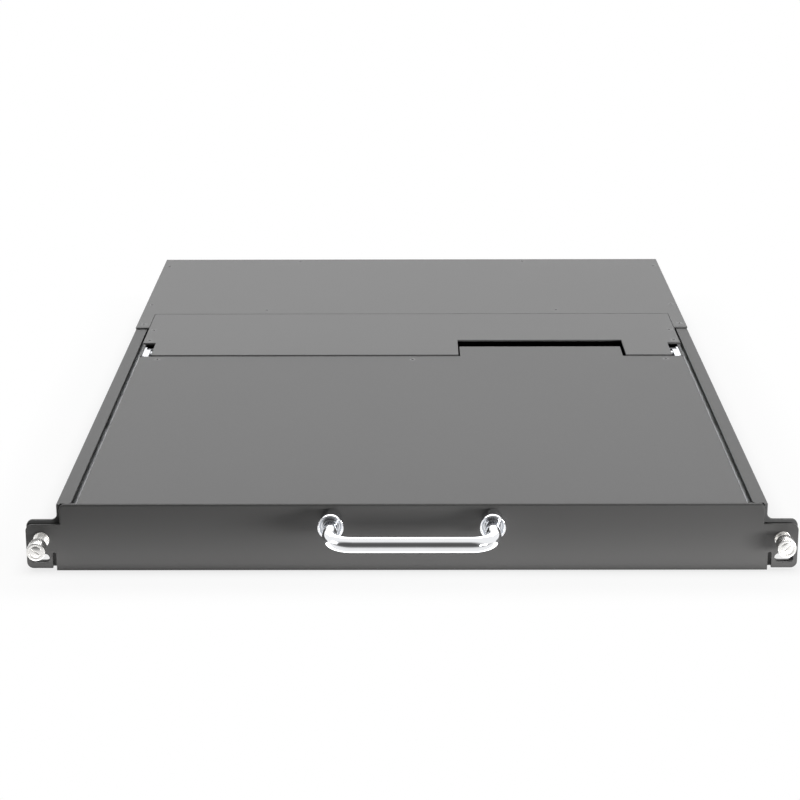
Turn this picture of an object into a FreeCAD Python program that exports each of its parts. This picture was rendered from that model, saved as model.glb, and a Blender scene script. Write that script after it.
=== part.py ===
import FreeCAD, Part
import Sketcher
import math
import os
import re

# A rack-mounted drawer that carries a keyboard and a fold-up flat screen, with a switch at its back.
# Millimetres. Lengths are worked out from three datums: x = 0 is the middle of the rack, y = 0 is the
# drawer's front face (y grows to the back) and z = 0 is the underside. Every piece is then placed from
# the rack's own datum, the middle of the two ear slots on the face that touches the rack's posts.

# ---------------------------------------------------------------- driving sizes
SIZES = {
    # chassis
    "rack_width": 482.6, "unit_height": 44, "depth": 650, "ear_reach": 19.3,
    "cover_sheet": 1.2, "rail_sheet": 2, "rail_flange": 8.8, "floor_sheet": 1.2, "floor_front": 16,
    "mount_plane": 6, "slot_level": 8.4, "slot_inset": 8.3, "slot_long": 12, "slot_wide": 6.1,
    "rail_front": 4, "ear_sheet": 2, "rail_ear_high": 32.5, "ear_low": 1.9, "ear_corner": 4,
    "flange_corner": 3, "bracket_hole": 2.1, "bracket_pitch": 30, "bracket_from_back": 20,
    "bracket_level": 22, "running_gap": 0.3, "pin_gap": 0.05, "vent_pitch": 50, "vent_long": 30,
    "vent_wide": 4,
    # fixed cover over the back
    "cover_front": 458.9, "cover_overhang": 0.4, "arm_long": 42.3, "arm_wide": 10.8, "cover_lip": 5,
    "lip_inset": 1, "bulkhead_gap": 1.4, "bulkhead_sheet": 1.2, "bulkhead_flange": 14.8,
    "flange_inset": 8, "cable_hole_wide": 120, "cable_hole_high": 22, "cable_hole_level": 8,
    "back_flange": 12,
    # countersunk screws
    "screw_head": 5.2, "screw_shank": 3, "screw_sink": 1.1, "screw_long": 3.4, "screw_edge": 5,
    "cover_screw_half": 120, "cover_screw_front": 12.1, "back_screw_half": 100.4, "back_screw_edge": 8,
    "side_screw_back": 25.5, "side_screw_front": 30, "arm_screw_front": 11.4,
    "dcover_screw_edge": 4.4, "dcover_screw_first": 7.5, "dcover_screw_pitch": 30.5,
    "lid_screw_edge": 14.3, "lid_screw_rear": 8, "lid_middle_screw": 0.8, "lid_middle_rear": 9.5,
    # drawer front
    "panel_sheet": 2, "panel_low": 0.4, "panel_shoulder": 2, "panel_overhang": 0.8,
    "panel_corner": 3.5, "panel_bend": 1.2, "ear_high": 30.8, "notch_wide": 2.4, "notch_high": 12.2,
    "return_deep": 1, "return_high": 2, "return_inset": 6, "sill_deep": 12, "sill_inset": 4.9,
    # handle
    "handle_half": 50, "handle_drop": 9, "handle_reach": 46, "handle_bar": 9.5, "handle_bend": 14,
    "handle_bolt": 4, "handle_bolt_head": 7.6, "handle_bolt_long": 14,
    "ferrule_long": 17, "ferrule_foot": 6.5, "ferrule_rim": 8, "ferrule_round": 1,
    "ferrule_band": 2.6, "ferrule_flare": 2.4,
    # thumbscrews
    "thumb_inset": 9.7, "thumb_level": 21.2, "thumb_head": 12, "thumb_grip": 9, "thumb_shank": 5,
    "thumb_left_reach": 22.4, "thumb_right_reach": 17.7, "thumb_tip": 0.8, "thumb_end": 0.6,
    "thumb_slot_long": 6,
    "thumb_slot_wide": 1, "bush_wide": 10, "bush_neck": 8, "bush_rim": 1.2, "washer_wide": 9,
    "washer_thick": 0.8, "spring_wide": 7.4,
    # telescopic slides
    "slide_room": 10.1, "slide_sheet": 1.2, "slide_centre": 21.5, "slide_over": 3.3,
    "slide_reach": 8.2, "web_gap": 1.8, "middle_reach": 5.6, "inner_reach": 5, "ball": 2.6,
    "ball_long": 1.6, "cage_wide": 2, "cage_thick": 0.8, "outer_line": 2.2, "inner_line": 3.1,
    "slide_front": 14, "slide_tail": 24.2, "middle_lag": 6, "ball_strip_long": 205,
    "outer_cage_front": 118, "inner_cage_front": 122,
    # drawer tray
    "cover_gap": 0.7, "tray_floor": 2.4, "tray_sheet": 1.2, "tray_low_top": 23.6, "tray_ledge": 9,
    "ledge_short": 20, "tray_flange": 6.7, "back_drop": 8,
    # keyboard deck
    "deck_room": 3.9, "deck_front": 8, "deck_short": 7.5, "deck_top": 18, "deck_sheet": 2.5,
    "deck_skirt": 2, "deck_corner": 4, "key_margin": 5.75, "key_gap": 0.7, "key_front": 118,
    "key_low": 11.2, "key_high": 22.2, "key_lean": 1.5, "keybase_top": 8.6, "keybase_sheet": 1.6,
    "base_foot": 4, "foot_inset": 8, "pad_wide": 68, "pad_deep": 46, "pad_front": 46, "pad_sink": 0.6,
    "pad_thick": 0.8, "pad_corner": 2, "button_deep": 15, "button_front": 26, "button_proud": 0.8,
    "button_high": 5.4, "button_split": 0.95,
    # drawer's own rear cover
    "dcover_overhang": 1.3, "dcover_lip": 2.4, "hinge_slot_wide": 10.2, "hinge_slot_long": 34.2,
    "notch_long": 41.7,
    # lid
    "lid_inset": 0.5, "lid_front": 3.6, "lid_long": 331.9, "lid_drop": 0.8, "lid_low": 24.6,
    "lid_sheet": 1.2, "lid_corner": 3, "lid_gap": 1.3, "bezel_sheet": 1.4, "tab_left": 37.6,
    "tab_right": 163, "tab_reach": 26.5, "tab_gap": 1.3, "tab_root": 4,
    "bezel_side": 40.45, "bezel_near": 32.4, "bezel_far": 29.2, "screen_lap": 5, "module_lap": 3,
    "glass": 1.2, "module_over": 4, "osd_pitch": 16, "osd_wide": 8, "osd_deep": 4,
    "osd_first": 70, "osd_rear": 14.5, "osd_proud": 0.6, "osd_flange": 1, "bumper": 8,
    "bumper_inset": 5.4, "bumper_near": 14, "bumper_far": 40,
    # hinge
    "hinge_behind": 14.2, "hinge_drop": 4.6, "hinge_pin": 4, "arm_inset": 6.1, "hinge_arm": 3.5,
    "arm_ahead": 39, "arm_behind": 7.6, "arm_drop": 5.4, "arm_rise": 3.4, "arm_round": 3,
    "arm_step": 1.5, "hinge_barrel": 6.4, "barrel_long": 8, "bracket_ahead": 9, "bracket_behind": 16,
    "bracket_rise": 2.6, "bracket_sheet": 1.6,
    # connectors at the back
    "port_pitch": 36.5, "port_margin": 30.5, "port_start": 117.5, "port_level": 22, "port_flange": 31,
    "port_high": 12.5, "port_sheet": 0.8, "port_reach": 5.7, "dshell_wide": 17, "dshell_high": 8.4,
    "dshell_lean": 1.4, "dshell_sheet": 0.5, "port_clear": 0.8, "insert_tail": 6, "insert_sink": 0.6,
    "jack_pitch": 25, "jack_round": 2.75, "jack_long": 5,
    "inlet_margin": 38, "inlet_wide": 27, "inlet_high": 20, "inlet_deep": 16, "inlet_wall": 1.6,
    "inlet_flange": 2, "blade_long": 9, "blade_pitch": 7, "blade_wide": 2, "rocker_margin": 72,
    "rocker_wide": 11, "rocker_high": 15, "rocker_pin": 1.5, "rocker_sink": 1, "rocker_back": 2.2,
    "rocker_foot": 3, "rocker_crest": 2.6, "rocker_valley": 0.9, "rocker_tip": 9, "switch_wall": 1.2, "switch_deep": 14,
    "switch_well": 9, "switch_rim": 1.6,
    "board_margin": 95, "board_level": 8, "board_sheet": 1.6, "board_front": 25, "board_back": 9,
    "board_side": 12, "board_inset": 6, "pillar": 3, "chip_wide": 24, "chip_high": 2.4,
    "chip_first": 65, "chip_pitch": 80, "chip_front": 56, "supply_edge": 8, "supply_margin": 82,
    "supply_front": 30, "supply_back": 6, "supply_drop": 8,
}

# Worked-out sizes: each name stands for its formula wherever a formula uses it.
DERIVED = {
    "half_rack": "rack_width / 2",
    "half_body": "half_rack - ear_reach",
    "rail_top": "unit_height - cover_sheet",
    "rail_inside": "half_body - rail_sheet",
    "flange_edge": "half_body - rail_flange",
    "flange_under": "rail_top - rail_sheet",
    "cover_depth": "depth - cover_front",
    "arm_front_end": "cover_front - arm_long",
    "cover_half": "half_body + cover_overhang",
    "arm_inside": "cover_half - arm_wide",
    "bulkhead_front": "cover_front + bulkhead_gap",
    "slot_half": "half_rack - slot_inset",
    "thumb_half": "half_rack - thumb_inset",
    "panel_high_half": "half_body - panel_shoulder",
    "panel_low_half": "half_body + panel_overhang",
    "notch_out": "panel_low_half + notch_wide",
    "return_half": "half_body - return_inset",
    "handle_level": "unit_height - handle_drop",
    "drawer_half": "rail_inside - slide_room",
    "drawer_rear": "cover_front - cover_gap",
    "sill_half": "drawer_half - sill_inset",
    "slide_rise": "2 * (flange_under - slide_over - slide_centre)",
    "slide_long": "drawer_rear - slide_front - slide_tail",
    "raceway": "ball + 2 * running_gap",
    "middle_half_rise": "slide_rise / 2 - slide_sheet - raceway",
    "inner_half_rise": "middle_half_rise - slide_sheet - raceway",
    "outer_lip": "rail_inside - slide_reach",
    "middle_web": "rail_inside - slide_sheet - web_gap",
    "middle_lip": "middle_web - middle_reach",
    "inner_lip": "drawer_half + inner_reach",
    "tray_inside": "drawer_half - tray_sheet",
    "tray_top": "tray_floor + tray_sheet",
    "deck_half": "drawer_half - deck_room",
    "deck_rear": "lid_rear - deck_short",
    "key_field": "2 * (deck_half - key_margin)",
    "key_pitch": "key_field / 22.5",
    "key_rows_rear": "key_front + key_pitch * 6.25",
    "lid_half": "drawer_half - lid_inset",
    "lid_rear": "lid_front + lid_long",
    "lid_top": "unit_height - lid_drop",
    "lid_under": "lid_low + bezel_sheet",
    "tab_rear": "lid_rear + tab_reach",
    "tab_edge": "tab_right + tab_gap * 2",
    "screen_half": "lid_half - bezel_side",
    "screen_front": "lid_front + bezel_near",
    "screen_rear": "lid_rear - bezel_far",
    "osd_centre": "lid_rear - osd_rear",
    "dcover_half": "drawer_half + dcover_overhang",
    "dcover_front": "lid_rear + lid_gap",
    "hinge_slot_in": "dcover_half - hinge_slot_wide",
    "hinge_slot_rear": "dcover_front + hinge_slot_long",
    "notch_rear": "dcover_front + notch_long",
    "hinge_y": "dcover_front + hinge_behind",
    "hinge_z": "unit_height - hinge_drop",
    "arm_in": "lid_half - arm_inset",
    "arm_out": "arm_in + hinge_arm",
    "bracket_in": "arm_out + running_gap",
    "back_inside": "depth - cover_sheet",
    "well_half": "rocker_wide / 2 + running_gap",
    "well_half_high": "rocker_high / 2 + 2 * running_gap + 0.4",
    "switch_half": "well_half + switch_wall",
    "switch_half_high": "well_half_high + switch_wall",
    "port_first": "port_start - rail_inside",
    "inlet_x": "inlet_margin - rail_inside",
    "rocker_x": "rocker_margin - rail_inside",
    "board_left": "board_margin - rail_inside",
    "board_right": "rail_inside - board_side",
    "board_near": "cover_front + board_front",
    "board_far": "back_inside - board_back",
}

doc = FreeCAD.newDocument("ConsoleDrawer")
sheet = doc.addObject("Spreadsheet::Sheet", "Sizes")
for row, (alias, size) in enumerate(SIZES.items(), start=1):
    sheet.set(f"A{row}", alias)
    sheet.set(f"B{row}", str(size))
    sheet.setAlias(f"B{row}", alias)
doc.recompute()


# ---------------------------------------------------------------- formulas and placing
def formula(text):
    """Spells out worked-out names and leads each cell's name with the sheet's."""
    def spell(match):
        word = match.group()
        if word in DERIVED:
            return "(" + formula(DERIVED[word]) + ")"
        if word in SIZES:
            return "Sizes." + word
        return word
    return re.sub(r"[a-z_]+", spell, str(text))


def value(text):
    return float(sheet.evalExpression(formula(text)))


def bind(item, path, text):
    item.setExpression(path, formula(text))


def place(piece, x="0", y="0", z="0"):
    """Puts a piece at x, y, z of the drawing datums, measured from the rack's datum."""
    bind(piece, "Placement.Base.x", x)
    bind(piece, "Placement.Base.y", f"{y} - mount_plane")
    bind(piece, "Placement.Base.z", f"{z} - slot_level")
    return piece


def sided(side, low, high):
    """The span from low to high on the right, or its mirror image on the left."""
    if side == "right":
        return low, high
    return f"-({high})", f"-({low})"


def at_side(side, x):
    return x if side == "right" else f"-({x})"


SIDES = ("left", "right")
NODES = []


def node(piece, label):
    piece.Label = label
    NODES.append(piece)
    return piece


# ---------------------------------------------------------------- Part pieces
def box(name, x, y, z):
    piece = doc.addObject("Part::Box", name)
    for size, (low, high) in zip(("Length", "Width", "Height"), (x, y, z)):
        bind(piece, size, f"({high}) - ({low})")
    return place(piece, x[0], y[0], z[0])


def round_bar(name, axis, centre, radius, length):
    """A cylinder along X, Y or Z that starts at centre."""
    piece = doc.addObject("Part::Cylinder", name)
    bind(piece, "Radius", radius)
    bind(piece, "Height", length)
    turn = {"X": ((0, 1, 0), 90), "Y": ((1, 0, 0), -90), "Z": ((0, 0, 1), 0)}[axis]
    piece.Placement.Rotation = FreeCAD.Rotation(FreeCAD.Vector(*turn[0]), turn[1])
    return place(piece, *centre)


def fused(name, pieces):
    whole = doc.addObject("Part::MultiFuse", name)
    whole.Shapes = pieces
    return whole


def grouped(name, pieces):
    whole = doc.addObject("Part::Compound", name)
    whole.Links = pieces
    return whole


def carved(name, base, tools):
    whole = doc.addObject("Part::Cut", name)
    whole.Base = base
    whole.Tool = tools[0] if len(tools) == 1 else grouped(name + "Tools", tools)
    return whole


def sunk_screw(name, x, y, top):
    """A countersunk screw that points down, its head flush with top."""
    head = doc.addObject("Part::Cone", name + "Head")
    bind(head, "Radius1", "screw_shank / 2")
    bind(head, "Radius2", "screw_head / 2")
    bind(head, "Height", "screw_sink")
    place(head, x, y, f"{top} - screw_sink")
    shank = round_bar(name + "Shank", "Z", (x, y, f"{top} - screw_long"),
                      "screw_shank / 2", "screw_long - screw_sink")
    return fused(name, [head, shank])


# ---------------------------------------------------------------- PartDesign pieces
PLANES = {"XY": "XY_Plane", "XZ": "XZ_Plane", "YZ": "YZ_Plane"}


def body(name):
    return place(doc.addObject("PartDesign::Body", name))


def sketch(owner, name, plane, level="0"):
    """A sketch on one of the body's own planes, moved to a level along X, Y or Z."""
    drawing = owner.newObject("Sketcher::SketchObject", name)
    datum = next(f for f in owner.Origin.OriginFeatures if f.Role == PLANES[plane])
    drawing.AttachmentSupport = (datum, "")
    drawing.MapMode = "FlatFace"
    sign = "-" if plane == "XZ" else ""
    bind(drawing, "AttachmentOffset.Base.z", f"{sign}({level})")
    return drawing


def constrain(drawing, rules):
    """Adds (kind, where, formula) rules together; a rule with a formula gets its value from it."""
    first = drawing.ConstraintCount
    drawing.addConstraint([Sketcher.Constraint(kind, *where) if text is None
                           else Sketcher.Constraint(kind, *where, value(text))
                           for kind, where, text in rules])
    for index, (kind, where, text) in enumerate(rules, start=first):
        if text is not None:
            bind(drawing, f"Constraints[{index}]", text)


def across_from_origin(point, text):
    return "DistanceX", (-1, 1, *point), text


def up_from_origin(point, text):
    return "DistanceY", (-1, 1, *point), text


def outline(drawing, corners):
    """A closed outline through (x, y) or (x, y, radius) corners given as formulas."""
    points = [FreeCAD.Vector(value(c[0]), value(c[1]), 0) for c in corners]
    radii = [value(c[2]) if len(c) == 3 else 0 for c in corners]
    count = len(corners)
    ways = [(points[(i + 1) % count] - points[i]).normalize() for i in range(count)]
    level = [abs(way.y) < 1e-9 for way in ways]
    upright = [abs(way.x) < 1e-9 for way in ways]
    lines, rules = [], []
    for i, way in enumerate(ways):
        after = (i + 1) % count
        segment = Part.LineSegment(points[i] + way * radii[i], points[after] - way * radii[after])
        lines.append(drawing.addGeometry(segment))
        if level[i]:
            rules += [("Horizontal", (lines[i],), None), up_from_origin((lines[i], 1), corners[i][1])]
        if upright[i]:
            rules += [("Vertical", (lines[i],), None), across_from_origin((lines[i], 1), corners[i][0])]
    for i, corner in enumerate(corners):
        before, after = lines[i - 1], lines[i]
        if radii[i]:
            back, ahead = -ways[i - 1], ways[i]
            middle = points[i] + (back + ahead) * radii[i]
            turns_left = back.cross(ahead).z < 0
            start = -ahead if turns_left else -back
            angle = math.atan2(start.y, start.x)
            ring = Part.Circle(middle, FreeCAD.Vector(0, 0, 1), radii[i])
            arc = drawing.addGeometry(Part.ArcOfCircle(ring, angle, angle + math.pi / 2))
            first, last = (1, 2) if turns_left else (2, 1)
            rules += [("Tangent", (before, 2, arc, first), None), ("Tangent", (arc, last, after, 1), None),
                      ("Radius", (arc,), corner[2])]
            continue
        rules.append(("Coincident", (before, 2, after, 1), None))
        if not (upright[i - 1] or upright[i]):
            rules.append(across_from_origin((after, 1), corner[0]))
        if not (level[i - 1] or level[i]):
            rules.append(up_from_origin((after, 1), corner[1]))
    constrain(drawing, rules)


def circle(drawing, x, y, radius):
    ring = drawing.addGeometry(Part.Circle(FreeCAD.Vector(value(x), value(y), 0),
                                           FreeCAD.Vector(0, 0, 1), value(radius)))
    constrain(drawing, [across_from_origin((ring, 3), x), up_from_origin((ring, 3), y),
                        ("Radius", (ring,), radius)])


def slot(drawing, x, y, length, width):
    """A level slot with round ends, centred on x, y."""
    centre = FreeCAD.Vector(value(x), value(y), 0)
    half = f"(({length}) - ({width})) / 2"
    radius = f"({width}) / 2"
    along = FreeCAD.Vector(value(half), 0, 0)
    across = FreeCAD.Vector(0, value(radius), 0)
    ends = []
    for middle, start in ((centre + along, -math.pi / 2), (centre - along, math.pi / 2)):
        ring = Part.Circle(middle, FreeCAD.Vector(0, 0, 1), value(radius))
        ends.append(drawing.addGeometry(Part.ArcOfCircle(ring, start, start + math.pi)))
    right, left = ends
    over = drawing.addGeometry(Part.LineSegment(centre + along + across, centre - along + across))
    under = drawing.addGeometry(Part.LineSegment(centre - along - across, centre + along - across))
    joins = ((right, 2, over, 1), (over, 2, left, 1), (left, 2, under, 1), (under, 2, right, 1))
    constrain(drawing, [("Tangent", join, None) for join in joins]
              + [across_from_origin((right, 3), f"{x} + {half}"),
                 across_from_origin((left, 3), f"{x} - {half}"),
                 up_from_origin((right, 3), y), ("Radius", (right,), radius),
                 ("Horizontal", (over,), None)])


def pad(owner, drawing, plane, length):
    """Material from the sketch's level on, along +X, +Y or +Z."""
    feature = owner.newObject("PartDesign::Pad", drawing.Name + "Pad")
    feature.Profile = drawing
    bind(feature, "Length", length)
    feature.Reversed = plane == "XZ"
    return feature


def pocket(owner, drawing, plane, length):
    """Takes material away from the sketch's level on, along +X, +Y or +Z."""
    feature = owner.newObject("PartDesign::Pocket", drawing.Name + "Pocket")
    feature.Profile = drawing
    bind(feature, "Length", length)
    feature.Reversed = plane != "XZ"
    return feature


def add_outline(owner, name, plane, corners, level, length):
    drawing = sketch(owner, name, plane, level)
    outline(drawing, corners)
    return pad(owner, drawing, plane, length)


def cut_outline(owner, name, plane, corners, level, length):
    drawing = sketch(owner, name, plane, level)
    outline(drawing, corners)
    return pocket(owner, drawing, plane, length)


def rectangle(x, y, corner=None):
    points = [(x[0], y[0]), (x[1], y[0]), (x[1], y[1]), (x[0], y[1])]
    return [(*point, corner) for point in points] if corner else points


def about(x, half_wide, z, half_high):
    """A rectangle about the point x, z."""
    return rectangle((f"{x} - ({half_wide})", f"{x} + ({half_wide})"),
                     (f"{z} - ({half_high})", f"{z} + ({half_high})"))


def mirrored(corners):
    """A right half from the bottom up, joined to its mirror image on the left."""
    return corners + [(f"-({c[0]})", *c[1:]) for c in reversed(corners)]


def repeated(owner, name, feature, drawing, count, pitch):
    """Repeats a feature along X, one pitch apart."""
    pattern = owner.newObject("PartDesign::LinearPattern", name)
    pattern.Originals = [feature]
    pattern.Direction = (drawing, ["H_Axis"])
    pattern.Occurrences = count
    bind(pattern, "Length", f"({pitch}) * {count - 1}")
    owner.Tip = pattern
    return pattern


def turned(name, axis, profile, x, y, z):
    """A piece turned about a line along X or Y, from (distance along, radius) corners."""
    owner = doc.addObject("PartDesign::Body", name)
    drawing = sketch(owner, name + "Profile", {"Y": "YZ", "X": "XZ"}[axis])
    outline(drawing, profile)
    feature = owner.newObject("PartDesign::Revolution", name + "Turn")
    feature.Profile = drawing
    feature.ReferenceAxis = (drawing, ["H_Axis"])
    feature.Angle = 360
    return place(owner, x, y, z)


def rounded(owner, name, radius, wanted):
    """Rounds the edges of the body's last feature whose box passes the test."""
    doc.recompute()
    base = owner.Tip
    edges = [f"Edge{i}" for i, edge in enumerate(base.Shape.Edges, start=1) if wanted(edge.BoundBox)]
    feature = owner.newObject("PartDesign::Fillet", name)
    feature.Base = (base, edges)
    bind(feature, "Radius", radius)
    return feature


# ---------------------------------------------------------------- chassis
def chassis_floor():
    floor = body("Floor")
    add_outline(floor, "FloorPlate", "XY",
                rectangle(("-rail_inside", "rail_inside"), ("floor_front", "depth")), "0", "floor_sheet")
    drawing = sketch(floor, "FloorVents", "XY")
    for step in range(-3, 4):
        x = f"vent_pitch * ({step})"
        outline(drawing, rectangle((f"{x} - vent_long / 2", f"{x} + vent_long / 2"),
                                   ("depth - cover_depth / 2 - vent_wide / 2",
                                    "depth - cover_depth / 2 + vent_wide / 2")))
    pocket(floor, drawing, "XY", "floor_sheet")
    return node(floor, "chassis_floor")


def side_rail(side, screws):
    """A bent side: wall, inward top flange, and the ear that bolts to the rack's post."""
    rail = body("Rail" + side.title())
    low, high = sided(side, "rail_inside", "half_body")
    add_outline(rail, "Wall" + side.title(), "XY",
                rectangle((low, high), ("rail_front", "depth")), "0", "rail_top")
    inner = at_side(side, "flange_edge")
    outer = at_side(side, "half_body")
    flange = [(outer, "rail_front + ear_sheet"), (outer, "depth"), (inner, "depth"),
              (inner, "rail_front + ear_sheet", "flange_corner")]
    add_outline(rail, "Flange" + side.title(), "XY", flange, "flange_under", "rail_sheet")
    root = at_side(side, "rail_inside")
    tip = at_side(side, "half_rack")
    ear = [(root, "ear_low"), (tip, "ear_low", "ear_corner"), (tip, "rail_ear_high", "ear_corner"),
           (outer, "rail_ear_high", "ear_corner"), (outer, "rail_top"), (root, "rail_top")]
    add_outline(rail, "Ear" + side.title(), "XZ", ear, "rail_front", "ear_sheet")
    holes = sketch(rail, "EarHoles" + side.title(), "XZ", "rail_front")
    slot(holes, at_side(side, "slot_half"), "slot_level", "slot_long", "slot_wide")
    circle(holes, at_side(side, "thumb_half"), "thumb_level", "thumb_shank / 2 + pin_gap")
    pocket(rail, holes, "XZ", "ear_sheet")
    bracket = sketch(rail, "BracketHoles" + side.title(), "YZ", low)
    for back in ("bracket_from_back", "bracket_from_back + bracket_pitch"):
        circle(bracket, f"depth - ({back})", "bracket_level", "bracket_hole")
    pocket(rail, bracket, "YZ", "rail_sheet")
    return node(carved("RailCut" + side.title(), rail, screws), "side_rail_" + side)


def rear_cover_screws():
    """Screws that hold the fixed cover, as (x, y) formulas."""
    places = []
    for side in SIDES:
        edge = at_side(side, "cover_half - screw_edge")
        places += [(at_side(side, "cover_screw_half"), "cover_front + cover_screw_front"),
                   (at_side(side, "back_screw_half"), "depth - back_screw_edge"),
                   (edge, "depth - side_screw_back"), (edge, "cover_front + side_screw_front"),
                   (edge, "arm_front_end + arm_screw_front")]
    return [sunk_screw(f"CoverScrew{i}", x, y, "unit_height") for i, (x, y) in enumerate(places)]


def rear_cover(screws):
    cover = body("RearCover")
    half = [("arm_inside", "cover_front"), ("arm_inside", "arm_front_end"),
            ("cover_half", "arm_front_end"), ("cover_half", "depth")]
    add_outline(cover, "CoverPlate", "XY", mirrored(half), "rail_top", "cover_sheet")
    lip = rectangle(("lip_inset - flange_edge", "flange_edge - lip_inset"),
                    ("cover_front", "cover_front + cover_sheet"))
    add_outline(cover, "CoverLip", "XY", lip, "rail_top - cover_lip", "cover_lip")
    return node(carved("RearCoverCut", cover, screws), "rear_cover")


def bulkhead(screws):
    """The wall between drawer space and switch, with a flange for the cover and a cable opening."""
    wall = body("Bulkhead")
    add_outline(wall, "BulkheadPlate", "XZ",
                rectangle(("lip_inset - flange_edge", "flange_edge - lip_inset"),
                          ("floor_sheet", "rail_top")),
                "bulkhead_front", "bulkhead_sheet")
    bend = "bulkhead_front + bulkhead_sheet"
    add_outline(wall, "BulkheadFlange", "XY",
                rectangle(("flange_inset - flange_edge", "flange_edge - flange_inset"),
                          (bend, f"{bend} + bulkhead_flange")),
                "rail_top - bulkhead_sheet", "bulkhead_sheet")
    cut_outline(wall, "CableOpening", "XZ",
                rectangle(("-cable_hole_wide / 2", "cable_hole_wide / 2"),
                          ("cable_hole_level", "cable_hole_level + cable_hole_high"), "flange_corner"),
                "bulkhead_front", "bulkhead_sheet")
    return node(carved("BulkheadCut", wall, screws), "kvm_bulkhead")


PORTS = int(value("(rail_inside - port_margin - port_first) / port_pitch + 0.01")) + 1


def trapezoid(x, z, grow):
    """A connector's D outline about x, z, larger all round by grow."""
    wide = f"(dshell_wide / 2 + {grow})"
    high = f"(dshell_high / 2 + {grow})"
    return [(f"{x} - {wide} + dshell_lean", f"{z} - {high}"),
            (f"{x} + {wide} - dshell_lean", f"{z} - {high}"),
            (f"{x} + {wide}", f"{z} + {high}"), (f"{x} - {wide}", f"{z} + {high}")]


def rear_panel(screws):
    panel = body("RearPanel")
    half = [("rail_inside", "floor_sheet"), ("rail_inside", "flange_under"),
            ("flange_edge", "flange_under"), ("flange_edge", "rail_top")]
    add_outline(panel, "BackPlate", "XZ", mirrored(half), "back_inside", "cover_sheet")
    add_outline(panel, "BackFlange", "XY",
                rectangle(("flange_inset - flange_edge", "flange_edge - flange_inset"),
                          ("back_inside - back_flange", "back_inside")),
                "rail_top - cover_sheet", "cover_sheet")
    ports = sketch(panel, "PortOpenings", "XZ", "back_inside")
    outline(ports, trapezoid("port_first", "port_level", "port_clear"))
    first = pocket(panel, ports, "XZ", "cover_sheet")
    repeated(panel, "PortOpeningRow", first, ports, PORTS, "port_pitch")
    drawing = sketch(panel, "PowerOpenings", "XZ", "back_inside")
    outline(drawing, about("inlet_x", "inlet_wide / 2", "port_level", "inlet_high / 2"))
    outline(drawing, about("rocker_x", "switch_half", "port_level", "switch_half_high"))
    pocket(panel, drawing, "XZ", "cover_sheet")
    return node(carved("RearPanelCut", panel, screws), "rear_panel")


def port_shells():
    """Stamped D shells on flanges outside the panel: the console's own port, then the computers'."""
    shells = body("PortShells")
    x = "port_first"
    drawing = sketch(shells, "PortFlange", "XZ", "depth")
    outline(drawing, about(x, "port_flange / 2", "port_level", "port_high / 2"))
    outline(drawing, trapezoid(x, "port_level", "-dshell_sheet"))
    flange = pad(shells, drawing, "XZ", "port_sheet")
    repeated(shells, "PortFlangeRow", flange, drawing, PORTS, "port_pitch")
    rim = sketch(shells, "PortRim", "XZ", "depth + port_sheet")
    outline(rim, trapezoid(x, "port_level", "0"))
    outline(rim, trapezoid(x, "port_level", "-dshell_sheet"))
    shell = pad(shells, rim, "XZ", "port_reach")
    repeated(shells, "PortRimRow", shell, rim, PORTS, "port_pitch")
    return node(shells, "port_shells")


def port_inserts():
    inserts = body("PortInserts")
    drawing = sketch(inserts, "InsertFace", "XZ", "back_inside - insert_tail")
    outline(drawing, trapezoid("port_first", "port_level", "-dshell_sheet"))
    face = pad(inserts, drawing, "XZ", "insert_tail + cover_sheet + port_sheet + port_reach - insert_sink")
    repeated(inserts, "InsertRow", face, drawing, PORTS, "port_pitch")
    return node(inserts, "port_inserts")


def jack_screws():
    """Hexagonal standoffs either side of each connector."""
    studs = body("JackScrews")
    drawing = sketch(studs, "JackHead", "XZ", "depth + port_sheet")
    for way in ("-", "+"):
        outline(drawing, [(f"port_first {way} jack_pitch / 2 + jack_round * {math.cos(math.radians(a)):.4f}",
                           f"port_level + jack_round * {math.sin(math.radians(a)):.4f}")
                          for a in range(30, 390, 60)])
    feature = pad(studs, drawing, "XZ", "jack_long")
    repeated(studs, "JackHeadRow", feature, drawing, PORTS, "port_pitch")
    return node(studs, "jack_screws")


def power_inlet():
    """A mains inlet: a hollow moulded box with three blades standing inside it."""
    x, z = "inlet_x", "port_level"
    inlet = body("PowerInlet")
    wide, high = "inlet_wide / 2", "inlet_high / 2"
    add_outline(inlet, "InletBody", "XZ", about(x, wide, z, high), "depth - inlet_deep", "inlet_deep")
    add_outline(inlet, "InletFlange", "XZ",
                about(x, wide + " + inlet_flange", z, high + " + inlet_flange"), "depth", "inlet_flange")
    cut_outline(inlet, "InletMouth", "XZ",
                about(x, wide + " - inlet_wall", z, high + " - inlet_wall"),
                "depth - inlet_deep + inlet_wall", "inlet_deep + inlet_flange")
    blades = sketch(inlet, "InletBlades", "XZ", "depth - inlet_deep + inlet_wall")
    for across, up in ((-1, -1), (0, 1), (1, -1)):
        outline(blades, about(f"{x} + {across} * blade_pitch", "blade_wide / 2",
                              f"{z} + {up} * blade_wide", "blade_wide"))
    pad(inlet, blades, "XZ", "blade_long")
    return node(inlet, "power_inlet")


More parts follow.
